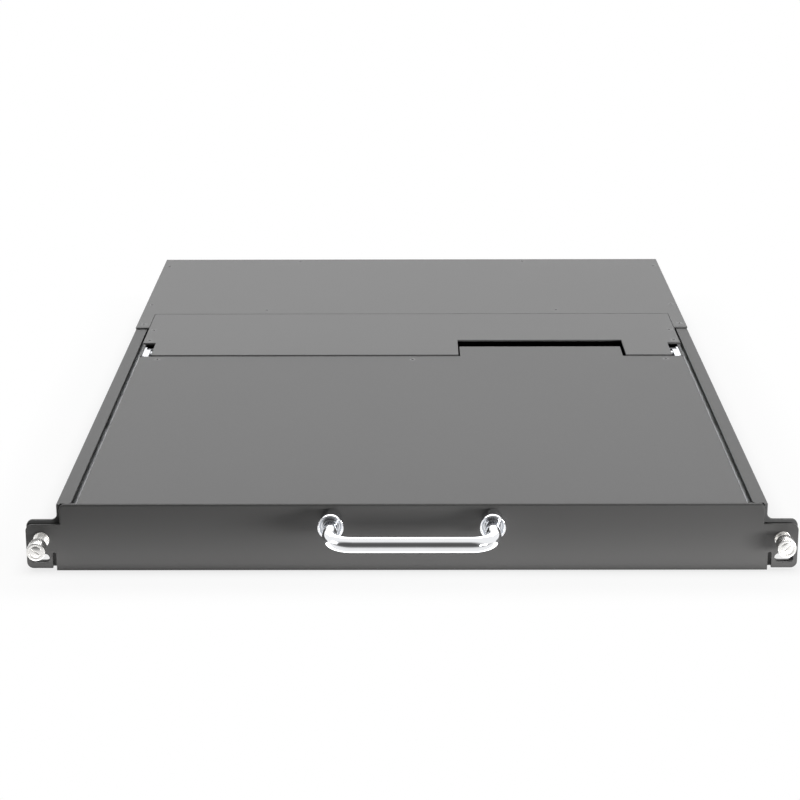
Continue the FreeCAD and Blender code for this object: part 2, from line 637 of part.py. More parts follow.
def power_switch():
    """A rocker on a cross pin in its moulded frame, shown tipped to off."""
    x, z = "rocker_x", "port_level"
    frame = body("SwitchFrame")
    add_outline(frame, "SwitchBox", "XZ", about(x, "switch_half", z, "switch_half_high"),
                "depth - switch_deep", "switch_deep")
    add_outline(frame, "SwitchRim", "XZ",
                about(x, "switch_half + inlet_flange", z, "switch_half_high + inlet_flange"),
                "depth", "switch_rim")
    cut_outline(frame, "SwitchWell", "XZ", about(x, "well_half", z, "well_half_high"),
                "depth - switch_well", "switch_well + switch_rim")
    pivot = sketch(frame, "SwitchPivot", "YZ", f"{x} - switch_half")
    circle(pivot, "depth - rocker_sink", z, "rocker_pin / 2 + pin_gap")
    pocket(frame, pivot, "YZ", "2 * switch_half")
    node(frame, "power_switch_frame")
    rocker = doc.addObject("PartDesign::Body", "Rocker")
    face = [("-rocker_back", "-rocker_foot"), ("-rocker_back", "rocker_foot"),
            ("rocker_crest", "rocker_high / 2"), ("rocker_valley", "0"),
            ("rocker_crest", "-rocker_high / 2")]
    drawing = sketch(rocker, "RockerSide", "YZ", "-rocker_wide / 2")
    outline(drawing, face)
    pad(rocker, drawing, "YZ", "rocker_wide")
    pin = sketch(rocker, "RockerPin", "YZ", "running_gap - switch_half")
    circle(pin, "0", "0", "rocker_pin / 2")
    pad(rocker, pin, "YZ", "2 * (switch_half - running_gap)")
    rocker.Placement.Rotation = FreeCAD.Rotation(FreeCAD.Vector(1, 0, 0), value("rocker_tip"))
    place(rocker, x, "depth - rocker_sink", z)
    return node(rocker, "power_rocker")


def kvm_board():
    """The switch's circuit board on its pillars, with the larger packages on it."""
    board = body("Board")
    add_outline(board, "BoardPlate", "XY",
                rectangle(("board_left", "board_right"), ("board_near", "board_far")),
                "board_level", "board_sheet")
    pillars = sketch(board, "BoardPillars", "XY", "floor_sheet")
    chips = sketch(board, "BoardChips", "XY", "board_level + board_sheet")
    for x in ("board_left + board_inset", "board_right - board_inset"):
        for y in ("board_near + board_inset", "board_far - board_inset"):
            outline(pillars, about(x, "pillar", y, "pillar"))
    for i in range(3):
        x, y = f"board_left + chip_first + chip_pitch * {i}", "board_near + chip_front - chip_wide"
        outline(chips, rectangle((x, f"{x} + chip_wide"), (y, f"{y} + chip_wide")))
    pad(board, pillars, "XY", "board_level - floor_sheet")
    pad(board, chips, "XY", "chip_high")
    return node(board, "kvm_board")


def power_supply():
    return node(box("PowerSupply", ("supply_edge - rail_inside", "supply_margin - rail_inside"),
                    ("cover_front + supply_front", "depth - inlet_deep - supply_back"),
                    ("floor_sheet", "rail_top - supply_drop")), "power_supply")


# ---------------------------------------------------------------- telescopic slides
def channel(name, side, web, lip, half_rise, front, length, opens_in):
    """A rolled channel: an upright web with a lip along its top and bottom."""
    piece = body(name)
    low, high = f"slide_centre - ({half_rise})", f"slide_centre + ({half_rise})"
    way = "-" if opens_in else "+"
    back = f"{web} {way} slide_sheet"
    corners = [(web, low, "slide_sheet * 0.8"), (lip, low), (lip, f"{low} + slide_sheet"),
               (back, f"{low} + slide_sheet"), (back, f"{high} - slide_sheet"),
               (lip, f"{high} - slide_sheet"), (lip, high), (web, high, "slide_sheet * 0.8")]
    corners = [(at_side(side, c[0]), *c[1:]) for c in corners]
    add_outline(piece, name + "Profile", "XZ", corners, front, length)
    return piece


CAGE_BALLS = 4


def ball_cage(name, side, line, level, front):
    """Two strips of balls, one in the upper raceway and one in the lower."""
    strips = []
    for way in ("+", "-"):
        centre = f"slide_centre {way} ({level})"
        low, high = sided(side, f"{line} - cage_wide / 2", f"{line} + cage_wide / 2")
        parts = [box(f"{name}Strip", (low, high), (front, f"{front} + ball_strip_long"),
                     (f"{centre} - cage_thick / 2", f"{centre} + cage_thick / 2"))]
        for i in range(CAGE_BALLS):
            y = f"{front} + ball_strip_long * ({i} + 0.5) / {CAGE_BALLS}"
            parts.append(round_bar(f"{name}Ball", "X", (f"{low} + (cage_wide - ball_long) / 2", y, centre),
                                   "ball / 2", "ball_long"))
        strips.append(fused(f"{name}Row", parts))
    return grouped(name, strips)


def slides():
    outer, inner = [], []
    for side in SIDES:
        tag = side.title()
        outer.append(channel("OuterSlide" + tag, side, "rail_inside", "outer_lip",
                             "slide_rise / 2", "slide_front", "slide_long", True))
        middle = channel("MiddleSlide" + tag, side, "middle_web", "middle_lip", "middle_half_rise",
                         "slide_front + middle_lag", "slide_long - 2 * middle_lag", True)
        node(middle, "slide_middle_" + side)
        inner.append(channel("InnerSlide" + tag, side, "drawer_half", "inner_lip",
                             "inner_half_rise", "slide_front", "slide_long - middle_lag", False))
        node(ball_cage("OuterCage" + tag, side, "outer_lip + outer_line", "middle_half_rise + raceway / 2",
                       "outer_cage_front"), "outer_cage_" + side)
        node(ball_cage("InnerCage" + tag, side, "drawer_half + inner_line", "inner_half_rise + raceway / 2",
                       "inner_cage_front"), "inner_cage_" + side)
    node(grouped("OuterSlides", outer), "slide_outer_members")
    node(grouped("InnerSlides", inner), "slide_inner_members")


# ---------------------------------------------------------------- drawer front
def handle_screws():
    """Sunk screws from behind the panel into the bar's two ends."""
    profile = [("-handle_bolt_long", "0"), ("panel_sheet", "0"), ("panel_sheet", "handle_bolt_head / 2"),
               ("0.2", "handle_bolt / 2"), ("-handle_bolt_long", "handle_bolt / 2")]
    return [turned("HandleScrew" + side.title(), "Y", profile,
                   at_side(side, "handle_half"), "0", "handle_level") for side in SIDES]


def bushings():
    """Collars pressed into the panel's ears, which the thumbscrews run through."""
    profile = [("0 - bush_rim", "thumb_shank / 2 + pin_gap"), ("panel_sheet", "thumb_shank / 2 + pin_gap"),
               ("panel_sheet", "bush_neck / 2"), ("0", "bush_neck / 2"), ("0", "bush_wide / 2"),
               ("0 - bush_rim", "bush_wide / 2")]
    return [turned("Bushing" + side.title(), "Y", profile, at_side(side, "thumb_half"), "0", "thumb_level")
            for side in SIDES]


def front_panel(screws, collars):
    panel = body("FrontPanel")
    half = [("panel_low_half", "panel_low"), ("panel_low_half", "notch_high", "notch_wide * 0.45"),
            ("notch_out", "notch_high", "notch_wide * 0.45"), ("notch_out", "ear_low"),
            ("half_rack", "ear_low", "ear_corner"), ("half_rack", "ear_high", "ear_corner"),
            ("panel_high_half", "ear_high"), ("panel_high_half", "unit_height", "panel_corner")]
    add_outline(panel, "PanelFace", "XZ", mirrored(half), "0", "panel_sheet")
    add_outline(panel, "PanelReturn", "XZ",
                rectangle(("-return_half", "return_half"), ("unit_height - return_high", "unit_height")),
                "panel_sheet", "return_deep")
    add_outline(panel, "PanelSill", "XZ",
                rectangle(("-sill_half", "sill_half"), ("panel_low", "tray_floor")),
                "panel_sheet", "sill_deep")
    holes = sketch(panel, "PanelSlots", "XZ", "0")
    for side in SIDES:
        slot(holes, at_side(side, "slot_half"), "slot_level", "slot_long", "slot_wide")
        circle(holes, at_side(side, "thumb_half"), "thumb_level", "bush_neck / 2")
    pocket(panel, holes, "XZ", "panel_sheet")
    top = value("unit_height")
    rounded(panel, "PanelBend", "panel_bend",
            lambda b: b.ZMin > top - value("panel_corner") - 0.01 and b.YMax < 0.01 and b.ZMax > top - 0.01)
    node(grouped("EarBushings", collars), "ear_bushings")
    return node(carved("FrontPanelCut", panel, screws), "front_panel")


def handle(screws):
    bar = body("Handle")
    spine = sketch(bar, "HandleLine", "XY", "handle_level")
    half, reach, bend = value("handle_half"), value("handle_reach"), value("handle_bend")
    v = FreeCAD.Vector
    legs = [spine.addGeometry(Part.LineSegment(v(-half, 0, 0), v(-half, bend - reach, 0))),
            spine.addGeometry(Part.LineSegment(v(bend - half, -reach, 0), v(half - bend, -reach, 0))),
            spine.addGeometry(Part.LineSegment(v(half, bend - reach, 0), v(half, 0, 0)))]
    bends = []
    for centre, start in ((bend - half, math.pi), (half - bend, math.pi * 1.5)):
        ring = Part.Circle(v(centre, bend - reach, 0), v(0, 0, 1), bend)
        bends.append(spine.addGeometry(Part.ArcOfCircle(ring, start, start + math.pi / 2)))
    joins = ((legs[0], 2, bends[0], 1), (bends[0], 2, legs[1], 1),
             (legs[1], 2, bends[1], 1), (bends[1], 2, legs[2], 1))
    ways = zip(legs, ("Vertical", "Horizontal", "Vertical"))
    constrain(spine, [("Tangent", join, None) for join in joins] + [(way, (leg,), None) for leg, way in ways]
              + [across_from_origin((legs[0], 1), "-handle_half"),
                 across_from_origin((legs[2], 2), "handle_half"),
                 up_from_origin((legs[0], 1), "0"), up_from_origin((legs[2], 2), "0"),
                 up_from_origin((legs[1], 1), "-handle_reach")]
              + [("Radius", (arc,), "handle_bend") for arc in bends])
    section = sketch(bar, "HandleSection", "XZ", "0")
    circle(section, "-handle_half", "handle_level", "handle_bar / 2")
    sweep = bar.newObject("PartDesign::AdditivePipe", "HandleSweep")
    sweep.Profile = section
    sweep.Spine = (spine, [])
    return node(carved("HandleCut", bar, screws), "handle_bar")


def ferrules():
    """Turned feet that flare from the panel to a rounded rim around the bar."""
    bore = "handle_bar / 2 + pin_gap"
    profile = [("0", bore), ("-ferrule_long", bore),
               ("-ferrule_long", "ferrule_rim - ferrule_round"),
               ("-ferrule_long + ferrule_round", "ferrule_rim"),
               ("-ferrule_long + ferrule_band", "ferrule_rim"),
               ("-ferrule_long + ferrule_band + ferrule_flare", "ferrule_foot"), ("0", "ferrule_foot")]
    feet = [turned("Ferrule" + side.title(), "Y", profile,
                   at_side(side, "handle_half"), "0", "handle_level") for side in SIDES]
    return node(grouped("Ferrules", feet), "handle_ferrules")


def thumbscrew(side):
    """A captive screw: turned head with a slot, plain shank, a thrust washer and its spring."""
    tag = side.title()
    reach = f"thumb_{side}_reach"
    head = f"(0 - {reach})"
    profile = [(f"{head}", "0"), (f"{head}", "thumb_head / 2 - thumb_tip"),
               (f"{head} + thumb_tip", "thumb_head / 2"), (f"{head} + thumb_grip", "thumb_head / 2"),
               (f"{head} + thumb_grip", "thumb_shank / 2"),
               ("panel_sheet + thumb_end", "thumb_shank / 2"),
               ("panel_sheet + thumb_end + thumb_tip", "thumb_shank / 2 - thumb_tip"),
               ("panel_sheet + thumb_end + thumb_tip", "0")]
    x, z = at_side(side, "thumb_half"), "thumb_level"
    screw = turned("Thumbscrew" + tag, "Y", profile, x, "0", z)
    groove = box("ThumbSlot" + tag, (f"{x} - thumb_slot_long / 2", f"{x} + thumb_slot_long / 2"),
                 (f"{head} - thumb_slot_wide", f"{head} + thumb_slot_wide"),
                 (f"{z} - thumb_slot_wide / 2", f"{z} + thumb_slot_wide / 2"))
    node(carved("ThumbscrewCut" + tag, screw, [groove]), "thumbscrew_" + side)
    seat, hole = f"({head} + thumb_grip + running_gap)", "thumb_shank / 2 + 2 * pin_gap"
    ring = [(seat, hole), (f"{seat} + washer_thick", hole),
            (f"{seat} + washer_thick", "washer_wide / 2"), (seat, "washer_wide / 2")]
    node(turned("Washer" + tag, "Y", ring, x, "0", z), "thumb_washer_" + side)
    start, end = f"({seat} + washer_thick)", "(0 - bush_rim)"
    bore = "thumb_shank / 2 + 4 * pin_gap"
    coil = [(start, bore), (end, bore), (end, "spring_wide / 2"), (start, "spring_wide / 2")]
    return node(turned("Spring" + tag, "Y", coil, x, "0", z), "thumb_spring_" + side)


# ---------------------------------------------------------------- drawer tray, deck and keys
def tray(screws):
    """The drawer's pan: floor, low sides with inward ledges, and a tall part behind the lid."""
    pan = body("Tray")
    add_outline(pan, "TrayFloor", "XY",
                rectangle(("-drawer_half", "drawer_half"), ("panel_sheet", "drawer_rear")),
                "tray_floor", "tray_sheet")
    for side in SIDES:
        tag = side.title()
        wall = sided(side, "tray_inside", "drawer_half")
        low = [("panel_sheet", "tray_floor"), ("drawer_rear", "tray_floor"), ("drawer_rear", "rail_top"),
               ("dcover_front + running_gap", "rail_top"), ("dcover_front + running_gap", "tray_low_top"),
               ("panel_sheet", "tray_low_top")]
        add_outline(pan, "TrayWall" + tag, "YZ", low, wall[0], "tray_sheet")
        ledge = sided(side, "drawer_half - tray_ledge", "drawer_half")
        add_outline(pan, "TrayLedge" + tag, "XY",
                    rectangle(ledge, ("panel_sheet", "lid_rear - ledge_short")),
                    "tray_low_top - tray_sheet", "tray_sheet")
        flange = sided(side, "drawer_half - tray_flange", "drawer_half")
        add_outline(pan, "TrayFlange" + tag, "XY", rectangle(flange, ("hinge_slot_rear + 1", "drawer_rear")),
                    "rail_top - tray_sheet", "tray_sheet")
    add_outline(pan, "TrayFront", "XZ",
                rectangle(("-drawer_half", "drawer_half"), ("tray_floor", "tray_low_top")),
                "panel_sheet", "tray_sheet")
    add_outline(pan, "TrayBack", "XZ",
                rectangle(("-drawer_half", "drawer_half"), ("tray_floor", "rail_top - back_drop")),
                "drawer_rear - tray_sheet", "tray_sheet")
    return node(carved("TrayCut", pan, screws), "drawer_tray")


def drawer_cover_screws():
    places = []
    for side in SIDES:
        for step in range(2):
            places.append((at_side(side, "dcover_half - dcover_screw_edge"),
                           f"hinge_slot_rear + dcover_screw_first + dcover_screw_pitch * {step}"))
    return [sunk_screw(f"DrawerScrew{i}", x, y, "unit_height") for i, (x, y) in enumerate(places)]


def drawer_cover(screws):
    """The cover behind the lid, cut away at the hinges and where the lid's tab swings."""
    cover = body("DrawerCover")
    outer = [("hinge_slot_in", "dcover_front"), ("hinge_slot_in", "hinge_slot_rear", "panel_bend"),
             ("dcover_half", "hinge_slot_rear"), ("dcover_half", "drawer_rear")]
    left = [(f"-({x})", *rest) for x, *rest in reversed(outer)]
    notch = [("tab_left - tab_gap", "dcover_front"), ("tab_left - tab_gap", "notch_rear"),
             ("tab_edge", "notch_rear"), ("tab_edge", "dcover_front")]
    add_outline(cover, "DrawerCoverPlate", "XY", outer + left + notch, "rail_top", "cover_sheet")
    spans = (("-hinge_slot_in", "tab_left - tab_gap"), ("tab_edge", "hinge_slot_in"))
    for i, span in enumerate(spans):
        add_outline(cover, f"DrawerCoverLip{i}", "XY",
                    rectangle(span, ("dcover_front", "dcover_front + cover_sheet")),
                    "rail_top - dcover_lip", "dcover_lip")
    return node(carved("DrawerCoverCut", cover, screws), "drawer_cover")


# The keyboard's fields and rows in key pitches: a field or a key further along gives its start
# and width, the main rows give each key's width in turn, and a space between keys is negative.
FIELDS = ((0, 15), (15.25, 3), (18.5, 4))
KEY_ROWS = {
    "keys_space_row": (1.25, 1.25, 1.25, 6.25, 1.25, 1.25, 1.25, 1.25),
    "keys_shift_row": (2.25, *[1] * 10, 2.75),
    "keys_home_row": (1.75, *[1] * 11, 2.25),
    "keys_tab_row": (1.5, *[1] * 12, 1.5),
    "keys_number_row": (*[1] * 13, 2),
    "keys_function_row": (1, -1, *[1] * 4, -0.5, *[1] * 4, -0.5, *[1] * 4),
}
SIDE_KEYS = {
    "keys_space_row": ((15.25, 1), (16.25, 1), (17.25, 1), (18.5, 2), (20.5, 1), (21.5, 1)),
    "keys_shift_row": ((16.25, 1), (18.5, 1), (19.5, 1), (20.5, 1), (21.5, 1)),
    "keys_home_row": ((18.5, 1), (19.5, 1), (20.5, 1), (21.5, 1)),
}
BLOCK_KEYS = tuple((start, 1) for start in (15.25, 16.25, 17.25, 18.5, 19.5, 20.5, 21.5))


def key_spans(label):
    """Where each key of a row starts and how wide it is, in pitches."""
    spans, start = [], 0
    for width in KEY_ROWS[label]:
        if width > 0:
            spans.append((start, width))
        start += abs(width)
    return spans + list(SIDE_KEYS.get(label, BLOCK_KEYS))


def row_front(index):
    """Where a row of keys starts; the function row stands a quarter pitch further back."""
    return f"key_front + key_pitch * {index + (0.25 if index == 5 else 0)}"


def key_cap(x, y, width):
    """One moulded key: a block whose four sides lean in towards its top."""
    pitch, gap, lean = value("key_pitch"), value("key_gap"), value("key_lean")
    low, high = value("key_low"), value("key_high")

    x0, x1 = x + gap / 2, x + width * pitch - gap / 2
    y0, y1 = y + gap / 2, y + pitch - gap / 2
    cap = Part.makeWedge(x0, 0, y0, y0 + lean, x0 + lean, x1, high - low, y1, y1 - lean * 0.6, x1 - lean)
    cap.rotate(FreeCAD.Vector(), FreeCAD.Vector(1, 0, 0), 90)
    cap = cap.mirror(FreeCAD.Vector(), FreeCAD.Vector(0, 1, 0))
    return cap.translated(FreeCAD.Vector(0, 0, low))


def keys():
    for index, label in enumerate(KEY_ROWS):
        left = -value("key_field") / 2
        y = value(row_front(index))
        caps = [key_cap(left + start * value("key_pitch"), y, width)
                for start, width in key_spans(label)]
        piece = doc.addObject("Part::Feature", "Keys")
        piece.Shape = Part.makeCompound(caps)
        node(place(piece), label)


def keyboard_deck():
    """The moulded deck: a skirted plate with a well for each group of keys and one for the pad."""
    deck = body("Deck")
    add_outline(deck, "DeckBlock", "XY",
                rectangle(("-deck_half", "deck_half"), ("deck_front", "deck_rear"), "deck_corner"),
                "tray_top", "deck_top - tray_top")
    cut_outline(deck, "DeckHollow", "XY",
                rectangle(("-deck_half + deck_skirt", "deck_half - deck_skirt"),
                          ("deck_front + deck_skirt", "deck_rear - deck_skirt")),
                "tray_top", "deck_top - tray_top - deck_sheet")
    wells = sketch(deck, "KeyWells", "XY", "deck_top - deck_sheet")
    for start, width in FIELDS:
        across = (f"key_pitch * {start} - key_field / 2", f"key_pitch * {start + width} - key_field / 2")
        outline(wells, rectangle(across, ("key_front", "key_front + key_pitch * 5")))
        outline(wells, rectangle(across, (row_front(5), "key_rows_rear")))
    for side in SIDES:
        span = sided(side, "button_split - running_gap", "pad_wide / 2 + running_gap")
        outline(wells, rectangle(span, ("button_front - running_gap",
                                        "button_front + button_deep + running_gap")))
    pocket(deck, wells, "XY", "deck_sheet")
    cut_outline(deck, "PadWell", "XY",
                rectangle(("-pad_wide / 2", "pad_wide / 2"), ("pad_front", "pad_front + pad_deep"),
                          "pad_corner"),
                "deck_top - pad_sink - pad_thick", "pad_sink + pad_thick")
    return node(deck, "keyboard_deck")


def keyboard_base():
    """The plate under the keys, standing on the tray on short feet."""
    base = body("KeyboardBase")
    add_outline(base, "BasePlate", "XY",
                rectangle(("-key_field / 2", "key_field / 2"), ("key_front", "key_rows_rear")),
                "keybase_top - keybase_sheet", "keybase_sheet")
    feet = sketch(base, "BaseFeet", "XY", "tray_top")
    for x in ("foot_inset - key_field / 2", "0", "key_field / 2 - foot_inset"):
        for y in ("key_front + foot_inset", "key_rows_rear - foot_inset"):
            outline(feet, about(x, "base_foot", y, "base_foot"))
    pad(base, feet, "XY", "keybase_top - keybase_sheet - tray_top")
    return node(base, "keyboard_base")


def touchpad():
    pad_piece = body("Touchpad")
    add_outline(pad_piece, "PadFace", "XY",
                rectangle(("-pad_wide / 2", "pad_wide / 2"), ("pad_front", "pad_front + pad_deep"),
                          "pad_corner"),
                "deck_top - pad_sink - pad_thick", "pad_thick")
    node(pad_piece, "touchpad")
    for side in SIDES:
        span = sided(side, "button_split", "pad_wide / 2")
        button = body("PadButton" + side.title())
        add_outline(button, "ButtonCap" + side.title(), "XY",
                    rectangle(span, ("button_front", "button_front + button_deep"), "1.2"),
                    "deck_top + button_proud - button_high", "button_high")
        node(button, "touchpad_button_" + side)


# ---------------------------------------------------------------- lid
def lid_screws():
    places = [(at_side(side, "lid_half - lid_screw_edge"), "lid_rear - lid_screw_rear") for side in SIDES]
    places.append(("lid_middle_screw", "lid_rear - lid_middle_rear"))
    return [sunk_screw(f"LidScrew{i}", x, y, "lid_top") for i, (x, y) in enumerate(places)]


def lid_shell(screws):
    """The folded steel back of the screen, with the tab that covers the cable at the hinge line."""
    shell = body("LidShell")
    add_outline(shell, "LidBlock", "XY",
                rectangle(("-lid_half", "lid_half"), ("lid_front", "lid_rear"), "lid_corner"),
                "lid_under", "lid_top - lid_under")
    inside = ("-lid_half + lid_sheet", "lid_half - lid_sheet")
    cut_outline(shell, "LidHollow", "XY",
                rectangle(inside, ("lid_front + lid_sheet", "lid_rear - lid_sheet")),
                "lid_under", "lid_top - lid_under - lid_sheet")
    add_outline(shell, "LidTab", "XY",
                rectangle(("tab_left", "tab_right"), ("lid_rear - tab_root", "tab_rear")),
                "lid_top - lid_sheet", "lid_sheet")
    for side in SIDES:
        span = sided(side, "arm_in - running_gap", "arm_out + running_gap")
        cut_outline(shell, "ArmNotch" + side.title(), "XZ",
                    rectangle(span, ("lid_under", "lid_top - lid_sheet")),
                    "lid_rear - lid_sheet", "lid_sheet")
    return node(carved("LidShellCut", shell, screws), "lid_shell")


def screen_bezel():
    bezel = body("Bezel")
    add_outline(bezel, "BezelPlate", "XY",
                rectangle(("-lid_half", "lid_half"), ("lid_front", "lid_rear"), "lid_corner"),
                "lid_low", "bezel_sheet")
    drawing = sketch(bezel, "BezelOpenings", "XY", "lid_low")
    outline(drawing, rectangle(("-screen_half", "screen_half"), ("screen_front", "screen_rear")))
    for i in range(5):
        x = f"osd_first + osd_pitch * {i}"
        outline(drawing, about(x, "osd_wide / 2 + running_gap",
                               "osd_centre", "osd_deep / 2 + running_gap"))
    pocket(bezel, drawing, "XY", "bezel_sheet")
    return node(bezel, "screen_bezel")


def screen():
    """The screen's hard front behind the bezel, and the panel module behind that."""
    for name, label, lap, low, high in (
            ("ScreenGlass", "screen_glass", "screen_lap", "lid_under", "lid_under + glass"),
            ("ScreenModule", "screen_module", "(screen_lap + module_lap)", "lid_under + glass",
             "lid_top - lid_sheet - module_over")):
        node(box(name, (f"-screen_half - {lap}", f"screen_half + {lap}"),
                 (f"screen_front - {lap}", f"screen_rear + {lap}"), (low, high)), label)


OSD_BUTTONS = ("menu", "left", "right", "auto", "power")


def osd_buttons():
    """Small keys below the screen: a cap through the bezel with a flange behind it."""
    for i, name in enumerate(OSD_BUTTONS):
        x = f"osd_first + osd_pitch * {i}"
        y = "osd_centre"
        button = body("Osd" + name.title())
        add_outline(button, "OsdCap" + name.title(), "XY",
                    rectangle((f"{x} - osd_wide / 2", f"{x} + osd_wide / 2"),
                              (f"{y} - osd_deep / 2", f"{y} + osd_deep / 2"), "0.8"),
                    "lid_low - osd_proud", "bezel_sheet + osd_proud + glass")
        add_outline(button, "OsdFlange" + name.title(), "XY",
                    rectangle((f"{x} - osd_wide / 2 - osd_flange", f"{x} + osd_wide / 2 + osd_flange"),
                              (f"{y} - osd_deep / 2 - osd_flange", f"{y} + osd_deep / 2 + osd_flange")),
                    "lid_under + running_gap", "glass - running_gap")
        node(button, "osd_button_" + name)


def bumpers():
    """Rubber feet on the bezel's corners, which land on the tray's ledges."""
    feet = []
    for side in SIDES:
        for y in ("lid_front + bumper_near", "lid_rear - bumper_far"):
            feet.append(round_bar("Bumper", "Z",
                                  (at_side(side, "lid_half - bumper_inset"), y,
                                   "tray_low_top + running_gap"),
                                  "bumper / 2", "lid_low - tray_low_top - running_gap"))
    return node(grouped("Bumpers", feet), "lid_bumpers")


# ---------------------------------------------------------------- hinges
def hinges():
    arms, brackets, pins = [], [], []
    for side in SIDES:
        tag = side.title()
        arm = body("HingeArm" + tag)
        low, high = sided(side, "arm_in", "arm_out")
        inside_top = "lid_top - lid_sheet - running_gap"
        front, rear = "hinge_y - arm_ahead", "hinge_y + arm_behind"
        plate = [(front, "hinge_z - arm_drop"), (rear, "hinge_z - arm_drop", "arm_round"),
                 (rear, "hinge_z + arm_rise", "arm_round"), ("lid_rear + arm_step", "hinge_z + arm_rise"),
                 ("lid_rear + arm_step", inside_top), (front, inside_top)]
        add_outline(arm, "ArmPlate" + tag, "YZ", plate, low, "hinge_arm")
        hole = sketch(arm, "ArmHole" + tag, "YZ", low)
        circle(hole, "hinge_y", "hinge_z", "hinge_pin / 2 + pin_gap")
        pocket(arm, hole, "YZ", "hinge_arm")
        arms.append(arm)
        bracket = body("HingeBracket" + tag)
        low, high = sided(side, "bracket_in", "tray_inside")
        add_outline(bracket, "BracketPlate" + tag, "YZ",
                    rectangle(("hinge_y - bracket_ahead", "hinge_y + bracket_behind"),
                              ("tray_top", "hinge_z + bracket_rise"), "pad_corner"),
                    low, "tray_inside - bracket_in")
        cross = sided(side, "arm_in - bracket_sheet", "tray_inside")
        add_outline(bracket, "BracketCross" + tag, "XZ",
                    rectangle(cross, ("tray_top", "hinge_z + bracket_rise - bracket_sheet")),
                    "hinge_y + bracket_behind - bracket_sheet", "bracket_sheet")
        brackets.append(bracket)
        pin = [("arm_out - arm_in + 2 * running_gap", "0"),
               ("arm_out - arm_in + 2 * running_gap", "hinge_pin / 2"), ("0", "hinge_pin / 2"),
               ("0", "hinge_barrel / 2"), ("-barrel_long", "hinge_barrel / 2"), ("-barrel_long", "0")]
        if side == "left":
            pin = [(f"-({along})", radius) for along, radius in pin]
        pins.append(turned("HingePin" + tag, "X", pin, at_side(side, "arm_in - running_gap"),
                           "hinge_y", "hinge_z"))
    node(grouped("HingeArms", arms), "hinge_arms")
    node(grouped("HingeBrackets", brackets + pins), "hinge_brackets")


# ---------------------------------------------------------------- assembly
def build():
    cover_bolts = rear_cover_screws()
    node(grouped("CoverScrews", cover_bolts), "rear_cover_screws")
    chassis_floor()
    for side in SIDES:
        side_rail(side, cover_bolts)
    rear_cover(cover_bolts)
    bulkhead(cover_bolts)
    rear_panel(cover_bolts)
    port_shells()
    port_inserts()
    jack_screws()
    power_inlet()
    power_switch()
    kvm_board()
    power_supply()
    slides()
    bar_screws = handle_screws()
    tray_bolts = drawer_cover_screws()
    node(grouped("DrawerScrews", bar_screws + tray_bolts), "drawer_screws")
    front_panel(bar_screws, bushings())
    handle(bar_screws)
    ferrules()
    for side in SIDES:
        thumbscrew(side)
    tray(tray_bolts)
    drawer_cover(tray_bolts)
    keyboard_deck()
    keyboard_base()
    keys()
    touchpad()
    back_bolts = lid_screws()
    node(grouped("LidScrews", back_bolts), "lid_screws")
    lid_shell(back_bolts)
    screen_bezel()
    screen()
    osd_buttons()
    bumpers()
    hinges()


def check():
    """Stops if any object failed or any piece has no sound shape."""
    for item in doc.Objects:
        if "Invalid" in item.State or "Error" in item.State:
            raise RuntimeError(f"{item.Label} failed: {item.State}")
    for piece in NODES:
        if piece.Shape.isNull() or not piece.Shape.isValid() or not piece.Shape.Solids:
            raise RuntimeError(f"{piece.Label} has no sound shape")


def export():
    os.makedirs("parts", exist_ok=True)
    for piece in NODES:
        piece.Shape.exportStep(f"parts/{piece.Label}.step")
        print(f"{piece.Label:24s} {len(piece.Shape.Solids):3d} solids {piece.Shape.Volume:12.1f} mm3")


build()
doc.recompute()
check()
export()
print(len(NODES), "nodes")
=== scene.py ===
import math
import bpy
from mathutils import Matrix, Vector


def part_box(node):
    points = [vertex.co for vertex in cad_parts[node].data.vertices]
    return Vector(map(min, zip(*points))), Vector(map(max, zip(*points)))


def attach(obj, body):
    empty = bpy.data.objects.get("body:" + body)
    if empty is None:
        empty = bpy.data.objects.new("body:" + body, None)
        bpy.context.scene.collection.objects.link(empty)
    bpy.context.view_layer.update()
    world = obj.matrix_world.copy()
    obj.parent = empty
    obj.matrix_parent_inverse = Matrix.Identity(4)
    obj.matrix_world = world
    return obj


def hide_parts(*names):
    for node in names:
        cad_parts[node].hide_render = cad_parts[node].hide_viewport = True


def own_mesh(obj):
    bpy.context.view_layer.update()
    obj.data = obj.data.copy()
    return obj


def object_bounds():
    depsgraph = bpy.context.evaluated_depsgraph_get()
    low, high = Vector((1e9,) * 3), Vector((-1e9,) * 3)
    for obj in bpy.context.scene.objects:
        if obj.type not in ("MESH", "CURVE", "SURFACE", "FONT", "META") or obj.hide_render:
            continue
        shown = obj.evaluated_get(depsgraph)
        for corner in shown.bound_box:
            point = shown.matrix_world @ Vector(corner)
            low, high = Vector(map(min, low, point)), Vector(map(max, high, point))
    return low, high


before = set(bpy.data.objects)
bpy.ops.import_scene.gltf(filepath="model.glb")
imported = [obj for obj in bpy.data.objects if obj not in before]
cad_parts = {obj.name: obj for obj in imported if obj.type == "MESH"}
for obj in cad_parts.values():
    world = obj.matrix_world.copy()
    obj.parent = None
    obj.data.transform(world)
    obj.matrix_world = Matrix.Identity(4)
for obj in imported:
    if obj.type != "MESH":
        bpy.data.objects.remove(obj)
cadBox = [list(corner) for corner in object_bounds()]
print("stage: frame loaded,", len(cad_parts), "nodes")

mm = 0.001
alongY = (math.radians(90), 0, 0)  # turns a cylinder's axis from z to y
forward, backward, upward, downward = (0, -1, 0), (0, 1, 0), (0, 0, 1), (0, 0, -1)
squareOn = 0.9  # how nearly a face has to look along a direction to be picked


# working in object and edit mode
def activate(piece):
    bpy.ops.object.select_all(action="DESELECT")
    piece.select_set(True)
    bpy.context.view_layer.objects.active = piece
    return piece


def started(name):
    # the primitive just added gets its name
    piece = bpy.context.active_object
    piece.name = name
    piece.data.name = name
    return piece


